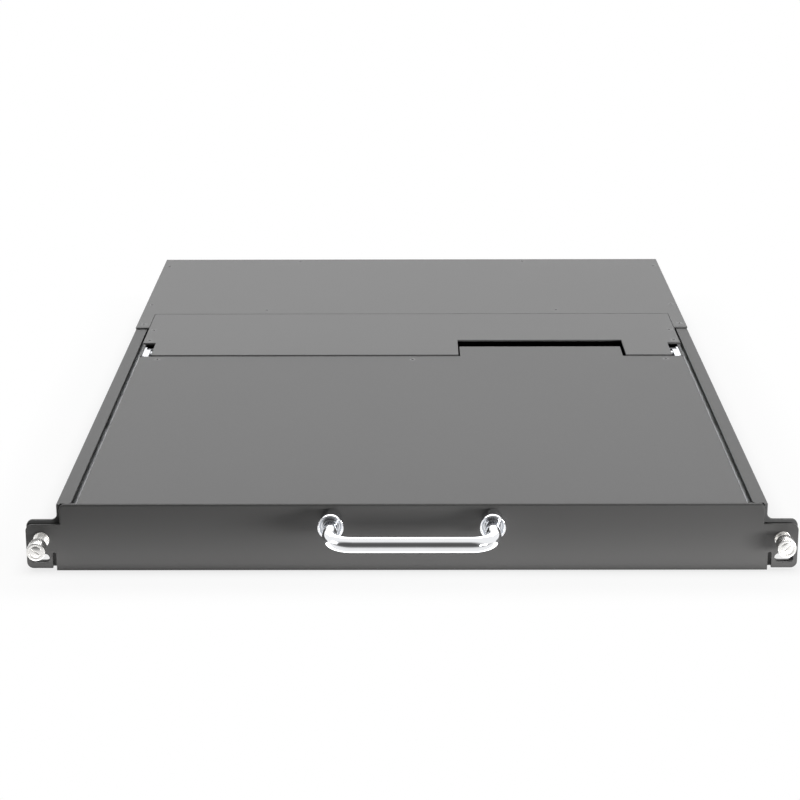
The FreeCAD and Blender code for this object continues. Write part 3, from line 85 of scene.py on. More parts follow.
def settle(piece):
    # the place goes into the mesh, the object back to the origin
    activate(piece)
    bpy.ops.object.transform_apply(location=True, rotation=True, scale=True)
    return piece


def applyModifiers(piece):
    activate(piece)
    for modifier in list(piece.modifiers):
        bpy.ops.object.modifier_apply(modifier=modifier.name)
    return piece


def bevelled(piece, width, segments=2, angle=40):
    modifier = piece.modifiers.new("edges", "BEVEL")
    modifier.width = width
    modifier.segments = segments
    modifier.limit_method = "ANGLE"
    modifier.angle_limit = math.radians(angle)
    return applyModifiers(piece)


def smoothed(piece, angle=40):
    activate(piece)
    bpy.ops.object.shade_smooth_by_angle(angle=math.radians(angle))
    return piece


def pickFaces(piece, direction):
    # leaves the piece in edit mode with the faces chosen that look along the direction
    activate(piece)
    bpy.ops.object.mode_set(mode="EDIT")
    bpy.ops.mesh.select_mode(type="FACE")
    bpy.ops.mesh.select_all(action="DESELECT")
    bpy.ops.object.mode_set(mode="OBJECT")
    for face in piece.data.polygons:
        face.select = face.normal.dot(direction) > squareOn
    bpy.ops.object.mode_set(mode="EDIT")


def leaveEdit():
    bpy.ops.object.mode_set(mode="OBJECT")


def joined(pieces, name):
    bpy.ops.object.select_all(action="DESELECT")
    for piece in pieces:
        piece.select_set(True)
    bpy.context.view_layer.objects.active = pieces[0]
    if len(pieces) > 1:
        bpy.ops.object.join()
    return started(name)


def copied(piece, name, offset):
    twin = piece.copy()
    twin.data = piece.data.copy()
    twin.name = name
    bpy.context.collection.objects.link(twin)
    twin.location = offset
    return settle(twin)


# shared effects
def effectGroup(name, inputs, outputs):
    group = bpy.data.node_groups.new(name, "ShaderNodeTree")
    for label, kind, value in inputs:
        socket = group.interface.new_socket(label, in_out="INPUT", socket_type=kind)
        socket.default_value = value
    for label, kind in outputs:
        group.interface.new_socket(label, in_out="OUTPUT", socket_type=kind)
    return group, group.nodes.new("NodeGroupInput"), group.nodes.new("NodeGroupOutput")


def addNode(tree, kind, **settings):
    made = tree.nodes.new(kind)
    for key, value in settings.items():
        if key in made.inputs:
            made.inputs[key].default_value = value
        else:
            setattr(made, key, value)
    return made


number = "NodeSocketFloat"
colour = "NodeSocketColor"


# powder coat: fine orange peel, a few pits, faint cloudy shade
powder = {
    "peelDetail": 3.0, "peelRoughness": 0.55,
    "pitSize": 2600.0, "pitReach": 0.5, "pitHeight": 0.35,
    "cloudSize": 7.0, "cloudDetail": 4.0, "roughnessSpread": 0.08,
}


def powderGroup():
    group, given, result = effectGroup(
        "powderCoat",
        [("Colour", colour, (0.05, 0.05, 0.05, 1)), ("Peel Size", number, 900),
         ("Cloud", number, 0.06), ("Roughness", number, 0.5)],
        [("Colour", colour), ("Roughness", number), ("Height", number)])
    link = group.links.new
    place = addNode(group, "ShaderNodeTexCoord")
    peel = addNode(group, "ShaderNodeTexNoise", Detail=powder["peelDetail"],
                   Roughness=powder["peelRoughness"])
    link(place.outputs["Object"], peel.inputs["Vector"])
    link(given.outputs["Peel Size"], peel.inputs["Scale"])
    speck = addNode(group, "ShaderNodeTexVoronoi", Scale=powder["pitSize"])
    link(place.outputs["Object"], speck.inputs["Vector"])
    speckle = addNode(group, "ShaderNodeMapRange", **{
        "From Max": powder["pitReach"], "To Min": powder["pitHeight"], "To Max": 0.0})
    link(speck.outputs["Distance"], speckle.inputs["Value"])
    height = addNode(group, "ShaderNodeMath", operation="ADD")
    link(peel.outputs["Fac"], height.inputs[0])
    link(speckle.outputs["Result"], height.inputs[1])
    link(height.outputs["Value"], result.inputs["Height"])
    cloud = addNode(group, "ShaderNodeTexNoise", Scale=powder["cloudSize"],
                    Detail=powder["cloudDetail"])
    link(place.outputs["Object"], cloud.inputs["Vector"])
    centred = addNode(group, "ShaderNodeMath", operation="SUBTRACT")
    link(cloud.outputs["Fac"], centred.inputs[0])
    centred.inputs[1].default_value = 0.5
    shade = addNode(group, "ShaderNodeMath", operation="MULTIPLY_ADD")
    link(centred.outputs["Value"], shade.inputs[0])
    link(given.outputs["Cloud"], shade.inputs[1])
    shade.inputs[2].default_value = 1.0
    tinted = addNode(group, "ShaderNodeVectorMath", operation="SCALE")
    link(given.outputs["Colour"], tinted.inputs[0])
    link(shade.outputs["Value"], tinted.inputs["Scale"])
    link(tinted.outputs["Vector"], result.inputs["Colour"])
    rough = addNode(group, "ShaderNodeMath", operation="MULTIPLY_ADD")
    link(peel.outputs["Fac"], rough.inputs[0])
    rough.inputs[1].default_value = powder["roughnessSpread"]
    link(given.outputs["Roughness"], rough.inputs[2])
    link(rough.outputs["Value"], result.inputs["Roughness"])
    return group


# a rounded normal at sharp edges and a mask where the edge is rubbed
rubbed = {
    "samples": 6, "flat": 0.995, "sharp": 0.8,
    "patchSize": 160.0, "patchDetail": 5.0, "patchFrom": 0.45, "patchTo": 0.7,
}


def edgeGroup():
    group, given, result = effectGroup(
        "edgeWear", [("Radius", number, 0.0004), ("Wear", number, 0.5)],
        [("Mask", number), ("Normal", "NodeSocketVector")])
    link = group.links.new
    rounded = addNode(group, "ShaderNodeBevel", samples=rubbed["samples"])
    link(given.outputs["Radius"], rounded.inputs["Radius"])
    link(rounded.outputs["Normal"], result.inputs["Normal"])
    flat = addNode(group, "ShaderNodeNewGeometry")
    cross = addNode(group, "ShaderNodeVectorMath", operation="DOT_PRODUCT")
    link(rounded.outputs["Normal"], cross.inputs[0])
    link(flat.outputs["Normal"], cross.inputs[1])
    edge = addNode(group, "ShaderNodeMapRange", **{
        "From Min": rubbed["flat"], "From Max": rubbed["sharp"]})
    link(cross.outputs["Value"], edge.inputs["Value"])
    place = addNode(group, "ShaderNodeTexCoord")
    patch = addNode(group, "ShaderNodeTexNoise", Scale=rubbed["patchSize"],
                    Detail=rubbed["patchDetail"])
    link(place.outputs["Object"], patch.inputs["Vector"])
    broken = addNode(group, "ShaderNodeMapRange", **{
        "From Min": rubbed["patchFrom"], "From Max": rubbed["patchTo"]})
    link(patch.outputs["Fac"], broken.inputs["Value"])
    both = addNode(group, "ShaderNodeMath", operation="MULTIPLY")
    link(edge.outputs["Result"], both.inputs[0])
    link(broken.outputs["Result"], both.inputs[1])
    amount = addNode(group, "ShaderNodeMath", operation="MULTIPLY")
    link(both.outputs["Value"], amount.inputs[0])
    link(given.outputs["Wear"], amount.inputs[1])
    link(amount.outputs["Value"], result.inputs["Mask"])
    return group


# fine mould texture of plastics
moulded = {
    "hazeSize": 35.0, "hazeDetail": 4.0, "darkest": 0.88, "palest": 1.12, "roughnessSpread": 0.12,
}


def grainGroup():
    group, given, result = effectGroup(
        "mouldGrain",
        [("Colour", colour, (0.02, 0.02, 0.02, 1)), ("Grain Size", number, 1500),
         ("Roughness", number, 0.5)],
        [("Colour", colour), ("Roughness", number), ("Height", number)])
    link = group.links.new
    place = addNode(group, "ShaderNodeTexCoord")
    grain = addNode(group, "ShaderNodeTexVoronoi", feature="SMOOTH_F1")
    link(place.outputs["Object"], grain.inputs["Vector"])
    link(given.outputs["Grain Size"], grain.inputs["Scale"])
    link(grain.outputs["Distance"], result.inputs["Height"])
    haze = addNode(group, "ShaderNodeTexNoise", Scale=moulded["hazeSize"],
                   Detail=moulded["hazeDetail"])
    link(place.outputs["Object"], haze.inputs["Vector"])
    shade = addNode(group, "ShaderNodeMapRange", **{
        "To Min": moulded["darkest"], "To Max": moulded["palest"]})
    link(haze.outputs["Fac"], shade.inputs["Value"])
    tinted = addNode(group, "ShaderNodeVectorMath", operation="SCALE")
    link(given.outputs["Colour"], tinted.inputs[0])
    link(shade.outputs["Result"], tinted.inputs["Scale"])
    link(tinted.outputs["Vector"], result.inputs["Colour"])
    rough = addNode(group, "ShaderNodeMath", operation="MULTIPLY_ADD")
    link(haze.outputs["Fac"], rough.inputs[0])
    rough.inputs[1].default_value = moulded["roughnessSpread"]
    link(given.outputs["Roughness"], rough.inputs[2])
    link(rough.outputs["Value"], result.inputs["Roughness"])
    return group


# plated or bare metal: faint drawn streaks, smudges in the gloss
plated = {
    "streakSize": 400.0, "streakDetail": 4.0, "smudgeSize": 60.0, "smudgeDetail": 3.0,
    "darkest": 0.94, "palest": 1.06,
}


def platingGroup():
    group, given, result = effectGroup(
        "plating",
        [("Colour", colour, (0.6, 0.6, 0.6, 1)), ("Stretch", "NodeSocketVector", (1, 1, 1)),
         ("Streak", number, 0.1), ("Roughness", number, 0.2)],
        [("Colour", colour), ("Roughness", number), ("Height", number)])
    link = group.links.new
    place = addNode(group, "ShaderNodeTexCoord")
    drawn = addNode(group, "ShaderNodeVectorMath", operation="MULTIPLY")
    link(place.outputs["Object"], drawn.inputs[0])
    link(given.outputs["Stretch"], drawn.inputs[1])
    streak = addNode(group, "ShaderNodeTexNoise", Scale=plated["streakSize"],
                     Detail=plated["streakDetail"])
    link(drawn.outputs["Vector"], streak.inputs["Vector"])
    link(streak.outputs["Fac"], result.inputs["Height"])
    smudge = addNode(group, "ShaderNodeTexNoise", Scale=plated["smudgeSize"],
                     Detail=plated["smudgeDetail"])
    link(place.outputs["Object"], smudge.inputs["Vector"])
    mixed = addNode(group, "ShaderNodeMath", operation="MULTIPLY")
    link(streak.outputs["Fac"], mixed.inputs[0])
    link(smudge.outputs["Fac"], mixed.inputs[1])
    rough = addNode(group, "ShaderNodeMath", operation="MULTIPLY_ADD")
    link(mixed.outputs["Value"], rough.inputs[0])
    link(given.outputs["Streak"], rough.inputs[1])
    link(given.outputs["Roughness"], rough.inputs[2])
    link(rough.outputs["Value"], result.inputs["Roughness"])
    tone = addNode(group, "ShaderNodeMapRange", **{
        "To Min": plated["darkest"], "To Max": plated["palest"]})
    link(smudge.outputs["Fac"], tone.inputs["Value"])
    tinted = addNode(group, "ShaderNodeVectorMath", operation="SCALE")
    link(given.outputs["Colour"], tinted.inputs[0])
    link(tone.outputs["Result"], tinted.inputs["Scale"])
    link(tinted.outputs["Vector"], result.inputs["Colour"])
    return group


powderCoat = powderGroup()
edgeWear = edgeGroup()
mouldGrain = grainGroup()
plating = platingGroup()
print("stage: shared effects built")


# materials
def emptyMaterial(name):
    material = bpy.data.materials.new(name)
    material.use_nodes = True
    tree = material.node_tree
    shader = next(n for n in tree.nodes if n.type == "BSDF_PRINCIPLED")
    return material, tree, shader


def placeGroup(tree, group, values):
    effect = tree.nodes.new("ShaderNodeGroup")
    effect.node_tree = group
    for label, value in values.items():
        effect.inputs[label].default_value = value
    return effect


def bumpOn(tree, shader, heightSocket, distance, strength, normalSocket=None):
    bump = addNode(tree, "ShaderNodeBump", Strength=strength, Distance=distance)
    tree.links.new(heightSocket, bump.inputs["Height"])
    if normalSocket is not None:
        tree.links.new(normalSocket, bump.inputs["Normal"])
    tree.links.new(bump.outputs["Normal"], shader.inputs["Normal"])


# a mix node takes colours at inputs 6 and 7 and gives one at output 2, and takes numbers at
# inputs 2 and 3 and gives one at output 0
def wornColour(tree, shader, colourSocket, edge, bare):
    mix = addNode(tree, "ShaderNodeMix", data_type="RGBA")
    tree.links.new(edge.outputs["Mask"], mix.inputs["Factor"])
    tree.links.new(colourSocket, mix.inputs[6])
    mix.inputs[7].default_value = bare
    tree.links.new(mix.outputs[2], shader.inputs["Base Color"])


def grey(level, warm=0.0):
    return (level * (1 + warm), level, level * (1 - warm), 1)


paint = {
    "specular": 0.2, "peel": 900, "edge": 0.35 * mm, "wear": 0.35, "bare": 3.2,
    "peelDeep": 0.04 * mm, "peelBump": 0.35,
}
metalFinish = {"edge": 0.2 * mm, "streakDeep": 0.02 * mm}
plastic = {"edge": 0.3 * mm, "wear": 0.25, "bare": 2.5, "grainDeep": 0.03 * mm}


def coatedSteel(name, level, roughness, warm=0.0):
    material, tree, shader = emptyMaterial(name)
    coat = placeGroup(tree, powderCoat, {
        "Colour": grey(level, warm), "Peel Size": paint["peel"], "Roughness": roughness})
    edge = placeGroup(tree, edgeWear, {"Radius": paint["edge"], "Wear": paint["wear"]})
    wornColour(tree, shader, coat.outputs["Colour"], edge, grey(level * paint["bare"]))
    tree.links.new(coat.outputs["Roughness"], shader.inputs["Roughness"])
    shader.inputs["Specular IOR Level"].default_value = paint["specular"]
    bumpOn(tree, shader, coat.outputs["Height"], paint["peelDeep"], paint["peelBump"],
           edge.outputs["Normal"])
    return material


def platedMetal(name, tone, roughness, streak=0.1, stretch=(1, 1, 1), bump=0.05):
    material, tree, shader = emptyMaterial(name)
    metal = placeGroup(tree, plating, {
        "Colour": tone, "Stretch": stretch, "Streak": streak, "Roughness": roughness})
    edge = placeGroup(tree, edgeWear, {"Radius": metalFinish["edge"], "Wear": 0.0})
    tree.links.new(metal.outputs["Colour"], shader.inputs["Base Color"])
    tree.links.new(metal.outputs["Roughness"], shader.inputs["Roughness"])
    shader.inputs["Metallic"].default_value = 1.0
    bumpOn(tree, shader, metal.outputs["Height"], metalFinish["streakDeep"], bump,
           edge.outputs["Normal"])
    return material


def mouldedPlastic(name, tone, roughness, grainSize=1500, bump=0.25, specular=0.5):
    material, tree, shader = emptyMaterial(name)
    grain = placeGroup(tree, mouldGrain, {
        "Colour": tone, "Grain Size": grainSize, "Roughness": roughness})
    edge = placeGroup(tree, edgeWear, {"Radius": plastic["edge"], "Wear": plastic["wear"]})
    bare = tuple(min(1, part * plastic["bare"]) for part in tone[:3]) + (1,)
    wornColour(tree, shader, grain.outputs["Colour"], edge, bare)
    tree.links.new(grain.outputs["Roughness"], shader.inputs["Roughness"])
    shader.inputs["Specular IOR Level"].default_value = specular
    bumpOn(tree, shader, grain.outputs["Height"], plastic["grainDeep"], bump,
           edge.outputs["Normal"])
    return material


# solder mask over copper tracks
board = {
    "trackSize": 160.0, "mask": (0.01, 0.1, 0.03, 1), "maskPale": (0.012, 0.13, 0.04, 1),
    "track": (0.05, 0.25, 0.08, 1), "glossSize": 200.0, "smoothest": 0.25, "roughest": 0.5,
}


def boardMaterial(name):
    material, tree, shader = emptyMaterial(name)
    place = addNode(tree, "ShaderNodeTexCoord")
    tracks = addNode(tree, "ShaderNodeTexBrick", Scale=board["trackSize"], Color1=board["mask"],
                     Color2=board["maskPale"], Mortar=board["track"])
    tree.links.new(place.outputs["Object"], tracks.inputs["Vector"])
    tree.links.new(tracks.outputs["Color"], shader.inputs["Base Color"])
    gloss = addNode(tree, "ShaderNodeTexNoise", Scale=board["glossSize"])
    tree.links.new(place.outputs["Object"], gloss.inputs["Vector"])
    level = addNode(tree, "ShaderNodeMapRange", **{
        "To Min": board["smoothest"], "To Max": board["roughest"]})
    tree.links.new(gloss.outputs["Fac"], level.inputs["Value"])
    tree.links.new(level.outputs["Result"], shader.inputs["Roughness"])
    return material


# the unlit liquid crystal behind its hard front
crystal = {
    "cellSize": 18.0, "cellDetail": 2.0,
    "dark": (0.006, 0.007, 0.009, 1), "pale": (0.010, 0.012, 0.016, 1),
    "smoothest": 0.15, "roughest": 0.19, "coat": 0.5,
}


def panelGlass(name):
    material, tree, shader = emptyMaterial(name)
    place = addNode(tree, "ShaderNodeTexCoord")
    cells = addNode(tree, "ShaderNodeTexNoise", Scale=crystal["cellSize"],
                    Detail=crystal["cellDetail"])
    tree.links.new(place.outputs["Object"], cells.inputs["Vector"])
    depth = addNode(tree, "ShaderNodeMix", data_type="RGBA")
    depth.inputs[6].default_value = crystal["dark"]
    depth.inputs[7].default_value = crystal["pale"]
    tree.links.new(cells.outputs["Fac"], depth.inputs["Factor"])
    tree.links.new(depth.outputs[2], shader.inputs["Base Color"])
    smear = addNode(tree, "ShaderNodeMapRange", **{
        "To Min": crystal["smoothest"], "To Max": crystal["roughest"]})
    tree.links.new(cells.outputs["Fac"], smear.inputs["Value"])
    tree.links.new(smear.outputs["Result"], shader.inputs["Roughness"])
    shader.inputs["Coat Weight"].default_value = crystal["coat"]
    return material


materials = {
    # the five paint greys below stand for one black powder coat; each part's copy is made lighter
    # or darker for the light and shade that part gets in this room, so their different tones are
    # painted light and painted shade
    "chassis_paint": coatedSteel("chassisPaintedLightShade", 0.086, 0.50),
    "cover_paint": coatedSteel("coverPaintedLightShade", 0.147, 0.50),
    "tray_paint": coatedSteel("trayPaintedLightShade", 0.085, 0.50),
    "panel_paint": coatedSteel("panelPaintedLightShade", 0.060, 0.48, warm=0.012),
    "lid_paint": coatedSteel("lidPaintedLightShade", 0.108, 0.50),
    "black_screws": platedMetal("blackOxide", grey(0.10), 0.38, 0.2),
    "handle_chrome": platedMetal("brightChrome", (0.86, 0.87, 0.89, 1), 0.035, 0.05, bump=0.01),
    "thumb_nickel": platedMetal("satinNickel", (0.88, 0.87, 0.85, 1), 0.22, 0.06, bump=0.02),
    "hinge_steel": platedMetal("brightZinc", (0.56, 0.57, 0.59, 1), 0.28, 0.2, (1, 0.2, 1)),
    "slide_zinc": platedMetal("slideZinc", (0.52, 0.53, 0.54, 1), 0.28, 0.3, (1, 0.05, 1), 0.15),
    "slide_balls": platedMetal("ballSteel", (0.62, 0.62, 0.63, 1), 0.15, 0.2),
    "port_metal": platedMetal("portTin", (0.66, 0.66, 0.64, 1), 0.25, 0.25),
    "port_plastic": mouldedPlastic("portBlue", (0.02, 0.05, 0.30, 1), 0.45),
    "inlet_plastic": mouldedPlastic("inletBlack", grey(0.018), 0.35),
    "rocker_plastic": mouldedPlastic("rockerBlack", grey(0.016), 0.28),
    "circuit_board": boardMaterial("solderMask"),
    "supply_case": platedMetal("supplyCase", (0.60, 0.60, 0.60, 1), 0.35, 0.3, (0.1, 1, 1), 0.1),
    "key_plastic": mouldedPlastic("keyBlack", grey(0.022), 0.46, 2200),
    "deck_plastic": mouldedPlastic("deckBlack", grey(0.026), 0.52, 1300, 0.4),
    "touchpad_plastic": mouldedPlastic("padGrey", grey(0.045), 0.40, 2600, 0.15),
    "button_plastic": mouldedPlastic("buttonGrey", grey(0.035), 0.36, 2400, 0.15),
    "bezel_plastic": mouldedPlastic("bezelBlack", grey(0.022), 0.50, 1400, 0.35),
    "screen_black": panelGlass("screenGlass"),
    "screen_case": platedMetal("screenCase", (0.50, 0.50, 0.51, 1), 0.32, 0.3, (1, 0.1, 1), 0.1),
    "bumper_rubber": mouldedPlastic("bumperRubber", grey(0.015), 0.75, 900, 0.4, 0.3),
}
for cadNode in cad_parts.values():
    for slot in cadNode.material_slots:
        slot.material = materials[slot.material.name.split(".")[0]]
print("stage: materials on", len(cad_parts), "nodes")


def finished(piece, slotName, body, *nodes):
    piece.data.materials.clear()
    piece.data.materials.append(materials[slotName])
    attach(piece, body)
    if nodes:
        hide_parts(*nodes)
    return piece


# steps of turned and moulded shapes
def disc(name, vertices, radius, depth, middle, turn):
    # a capped cylinder, which stands along z until it is turned
    bpy.ops.object.select_all(action="DESELECT")
    bpy.ops.mesh.primitive_cylinder_add(vertices=vertices, radius=radius, depth=depth,
                                        location=middle, rotation=turn)
    return settle(started(name))


def stepped(steps, direction):
    # insets the picked face, then moves it along the direction, once for each step
    for inward, onward in steps:
        if inward:
            bpy.ops.mesh.inset(thickness=inward)
        if onward:
            bpy.ops.mesh.extrude_region_move(
                TRANSFORM_OT_translate={"value": tuple(onward * part for part in direction)})


def cutBy(piece, cutters):
    for cutter in cutters:
        cut = piece.modifiers.new("cut", "BOOLEAN")
        cut.operation = "DIFFERENCE"
        cut.solver = "EXACT"
        cut.object = cutter
        applyModifiers(piece)
        bpy.data.objects.remove(cutter, do_unlink=True)
    return piece


def block(name, low, high):
    bpy.ops.object.select_all(action="DESELECT")
    bpy.ops.mesh.primitive_cube_add(size=1, location=middleOf(low, high))
    piece = started(name)
    piece.scale = tuple(b - a for a, b in zip(low, high))
    return settle(piece)


def solidBoxes(node):
    # low and high corner of each separate solid, told apart by the corners its faces share
    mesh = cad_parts[node].data
    leader = {}

    def first(key):
        while leader[key] != key:
            key = leader[key]
        return key

    for face in mesh.polygons:
        keys = [tuple(round(c, 6) for c in mesh.vertices[i].co) for i in face.vertices]
        for key in keys:
            leader.setdefault(key, key)
        for key in keys[1:]:
            leader[first(key)] = first(keys[0])
    boxes = {}
    for key in leader:
        low, high = boxes.setdefault(first(key), (list(key), list(key)))
        for axis, part in enumerate(key):
            low[axis] = min(low[axis], part)
            high[axis] = max(high[axis], part)
    return sorted(boxes.values())


def middleOf(low, high):
    return tuple((a + b) / 2 for a, b in zip(low, high))


def repeated(piece, boxes, name):
    # the piece fills the first box, and a copy of it each of the others
    start = boxes[0][0]
    return [piece] + [copied(piece, name, tuple(b - a for a, b in zip(start, low)))
                      for low, high in boxes[1:]]


# thumbscrews: a crowned rim round a recessed face, a fluted grip and a slot
knobs = {
    "slotTurn": {"left": -38, "right": 52},
    "head": 6.0 * mm, "grip": 9.0 * mm, "shank": 2.5 * mm, "flutes": 36, "fluteDeep": 0.18 * mm,
    "gripIn": 0.175 * mm, "crown": 0.35 * mm, "crownIn": 0.1575 * mm, "rim": 1.24 * mm,
    "groove": 0.25 * mm, "recess": 0.55 * mm, "recessLift": 0.33 * mm,
    "slotLong": 2.6 * mm, "slotWide": 0.7 * mm, "slotDeep": 0.9 * mm, "slotRise": 1 * mm,
    "chamfer": 0.5 * mm, "tip": 0.6 * mm, "edge": 0.12 * mm,
}


def thumbscrew(side):
    low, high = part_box("thumbscrew_" + side)
    x, z = (low.x + high.x) / 2, (low.z + high.z) / 2
    face, tail = low.y, high.y
    radius, crown, groove = knobs["head"] - knobs["gripIn"], knobs["crown"], knobs["groove"]
    head = disc("thumbHead_" + side, 2 * knobs["flutes"], radius, knobs["grip"] - crown,
                (x, face + (knobs["grip"] + crown) / 2, z), alongY)
    pickFaces(head, forward)
    stepped([(knobs["crownIn"], crown), (knobs["rim"], 0), (groove, -knobs["recess"]), (groove, 0),
             (groove, knobs["recessLift"])], forward)
    leaveEdit()
    pickFaces(head, backward)
    stepped([(radius - knobs["shank"], tail - face - knobs["grip"] - knobs["tip"]),
             (knobs["chamfer"], knobs["tip"])], backward)
    leaveEdit()
    # every other lengthwise edge of the grip sinks in, which leaves shallow flutes
    activate(head)
    bpy.ops.object.mode_set(mode="EDIT")
    bpy.ops.mesh.select_mode(type="VERT")
    bpy.ops.mesh.select_all(action="DESELECT")
    leaveEdit()
    for corner in head.data.vertices:
        outward = math.hypot(corner.co.x - x, corner.co.z - z)
        step = math.atan2(corner.co.z - z, corner.co.x - x) / math.tau * 2 * knobs["flutes"]
        onGrip = outward > 0.99 * radius
        corner.select = onGrip and round(step) % 2 == 0
    bpy.ops.object.mode_set(mode="EDIT")
    shrink = 1 - knobs["fluteDeep"] / knobs["head"]
    bpy.ops.transform.resize(value=(shrink, 1, shrink), center_override=(x, 0, z))
    leaveEdit()
    slot = block("slotCutter",
                 (x - knobs["slotLong"], face - knobs["slotRise"], z - knobs["slotWide"] / 2),
                 (x + knobs["slotLong"], face + knobs["slotDeep"], z + knobs["slotWide"] / 2))
    activate(slot)
    bpy.ops.transform.rotate(value=math.radians(knobs["slotTurn"][side]), orient_axis="Y",
                             center_override=(x, 0, z))
    settle(slot)
    cutBy(head, [slot])
    bevelled(head, knobs["edge"], angle=32)
    smoothed(head)
    return finished(head, "thumb_nickel", "thumbscrew_" + side, "thumbscrew_" + side)


for side in knobs["slotTurn"]:
    thumbscrew(side)
print("stage: thumbscrews turned")


# countersunk screws with a cross recess
crossScrews = {
    "head": 2.6 * mm, "shank": 1.5 * mm, "sink": 1.1 * mm, "long": 3.4 * mm, "rim": 0.12 * mm,
    "arm": 1.35 * mm, "armWide": 0.35 * mm, "deep": 0.75 * mm, "edge": 0.05 * mm,
}
handleBolts = {
    "head": 3.8 * mm, "shank": 2.0 * mm, "sink": 1.8 * mm, "long": 16 * mm, "rim": 0.12 * mm,
    "arm": 1.9 * mm, "armWide": 0.5 * mm, "deep": 1.1 * mm, "edge": 0.05 * mm,
}
screwSides = 32
screwTurn = 37  # each screw of a set stands this many degrees on from the one before
uprightDeep = 6.2 * mm  # solids deeper than this are the handle's bolts, which lie level


def screwPattern(size):
    # one screw, head up, the middle of its top face at the origin
    screw = disc("crossScrew", screwSides, size["head"], size["rim"], (0, 0, -size["rim"] / 2),
                 (0, 0, 0))
    narrowed = size["shank"] / size["head"]
    pickFaces(screw, downward)
    stepped([(0, size["sink"] - size["rim"])], downward)
    bpy.ops.transform.resize(value=(narrowed, narrowed, 1), center_override=(0, 0, 0))
    stepped([(0, size["long"] - size["sink"])], downward)
    leaveEdit()
    arms = [block("armCutter", (-along, -across, -size["deep"]), (along, across, size["deep"]))
            for along, across in ((size["arm"], size["armWide"]), (size["armWide"], size["arm"]))]
    cutBy(screw, arms)
    bevelled(screw, size["edge"], segments=1)
    return smoothed(screw)


def screwSet(node, name, body):
    # a screw in place of each of the node's solids, each turned by a different amount
    upright, bolt = screwPattern(crossScrews), screwPattern(handleBolts)
    screws = []
    for index, (low, high) in enumerate(solidBoxes(node)):
        x, y, z = middleOf(low, high)
        isUpright = high[1] - low[1] < uprightDeep
        twin = copied(upright if isUpright else bolt, "screwCopy", (0, 0, 0))
        if isUpright:
            twin.rotation_euler = (0, 0, math.radians(screwTurn * index))
            twin.location = (x, y, high[2])
        else:
            twin.rotation_euler = (math.radians(-90), 0, 0)
            twin.location = (x, high[1], z)
        screws.append(settle(twin))
    for pattern in (upright, bolt):
        bpy.data.objects.remove(pattern, do_unlink=True)
    return finished(joined(screws, name), "black_screws", body, node)


for node, name, body in (("rear_cover_screws", "coverScrews", "chassis"),
                         ("drawer_screws", "drawerScrews", "drawer"),
                         ("lid_screws", "lidScrews", "lid")):
    screwSet(node, name, body)
print("stage: screws copied")


# handle feet: a collar that flares to a rolled rim round a dished face
feet = {
    "foot": 6.5 * mm, "rim": 8.0 * mm, "bar": 4.83 * mm, "collar": 12.0 * mm, "flare": 2.2 * mm,
    "lip": 0.9 * mm, "dish": 2.6 * mm, "dishFoot": 1.1 * mm, "roll": 0.35 * mm,
    "boreLong": 40 * mm, "sides": 64,
}


def handleFoot(low, high, name):
    x, y, z = middleOf(low, high)
    foot = disc(name, feet["sides"], feet["foot"], feet["collar"],
                (x, high[1] - feet["collar"] / 2, z), alongY)
    pickFaces(foot, forward)
    stepped([(0, feet["flare"])], forward)
    grown = feet["rim"] / feet["foot"]
    bpy.ops.transform.resize(value=(grown, 1, grown), center_override=(x, 0, z))
    left = high[1] - low[1] - feet["collar"] - feet["flare"]
    stepped([(0, left), (feet["lip"], 0), (0, -feet["dish"])], forward)
    inner = (feet["bar"] + feet["dishFoot"]) / (feet["rim"] - feet["lip"])
    bpy.ops.transform.resize(value=(inner, 1, inner), center_override=(x, 0, z))
    leaveEdit()
    cutBy(foot, [disc("boreCutter", feet["sides"], feet["bar"], feet["boreLong"], (x, y, z),
                      alongY)])
    bevelled(foot, feet["roll"], segments=3, angle=25)
    return smoothed(foot)


pair = [handleFoot(low, high, f"handleFoot_{index}")
        for index, (low, high) in enumerate(solidBoxes("handle_ferrules"))]
finished(joined(pair, "handleFeet"), "handle_chrome", "drawer", "handle_ferrules")
print("stage: handle feet dished")


# keys: tapered caps with scooped tops
keyCaps = {
    "lean": 1.5 * mm, "backLean": 0.9 * mm, "rim": 0.9 * mm, "scoop": 0.35 * mm, "edge": 0.45 * mm,
}


def keyCap(low, high):
    lean, backLean = keyCaps["lean"], keyCaps["backLean"]
    cap = block("keyCap", low, high)
    pickFaces(cap, upward)
    wide, deep = high[0] - low[0], high[1] - low[1]
    bpy.ops.transform.resize(value=(1 - 2 * lean / wide, (deep - lean - backLean) / deep, 1),
                             center_override=middleOf(low, high))
    bpy.ops.transform.translate(value=(0, (lean - backLean) / 2, 0))
    stepped([(keyCaps["rim"], 0), (keyCaps["rim"], -keyCaps["scoop"])], upward)
    leaveEdit()
    bevelled(cap, keyCaps["edge"], angle=25)
    return smoothed(cap)


def keyRow(row):
    node = f"keys_{row}_row"
    patterns = {}
    caps = []
    for low, high in solidBoxes(node):
        wide = round(high[0] - low[0], 4)
        if wide not in patterns:
            patterns[wide] = (keyCap(low, high), low)
            caps.append(patterns[wide][0])
        else:
            pattern, start = patterns[wide]
            caps.append(copied(pattern, "keyCopy", tuple(b - a for a, b in zip(start, low))))
    return finished(joined(caps, "keys_" + row), "key_plastic", node, node)


for row in ("space", "shift", "home", "tab", "number", "function"):
    keyRow(row)
print("stage: keys shaped")


# connectors: D faces with three rows of pin holes, and hexagonal studs
ports = {
    "taper": 1.4 * mm, "hole": 0.5 * mm, "pitch": 2.3 * mm, "rowPitch": 2.0 * mm, "rowShift": 0.25,
    "rows": (-1, 0, 1), "columns": (-2, -1, 0, 1, 2), "holeSides": 12,
    "deep": 4 * mm, "edge": 0.2 * mm,
}
studs = {"bore": 1.4 * mm, "boreSides": 24, "deep": 4 * mm, "edge": 0.25 * mm}


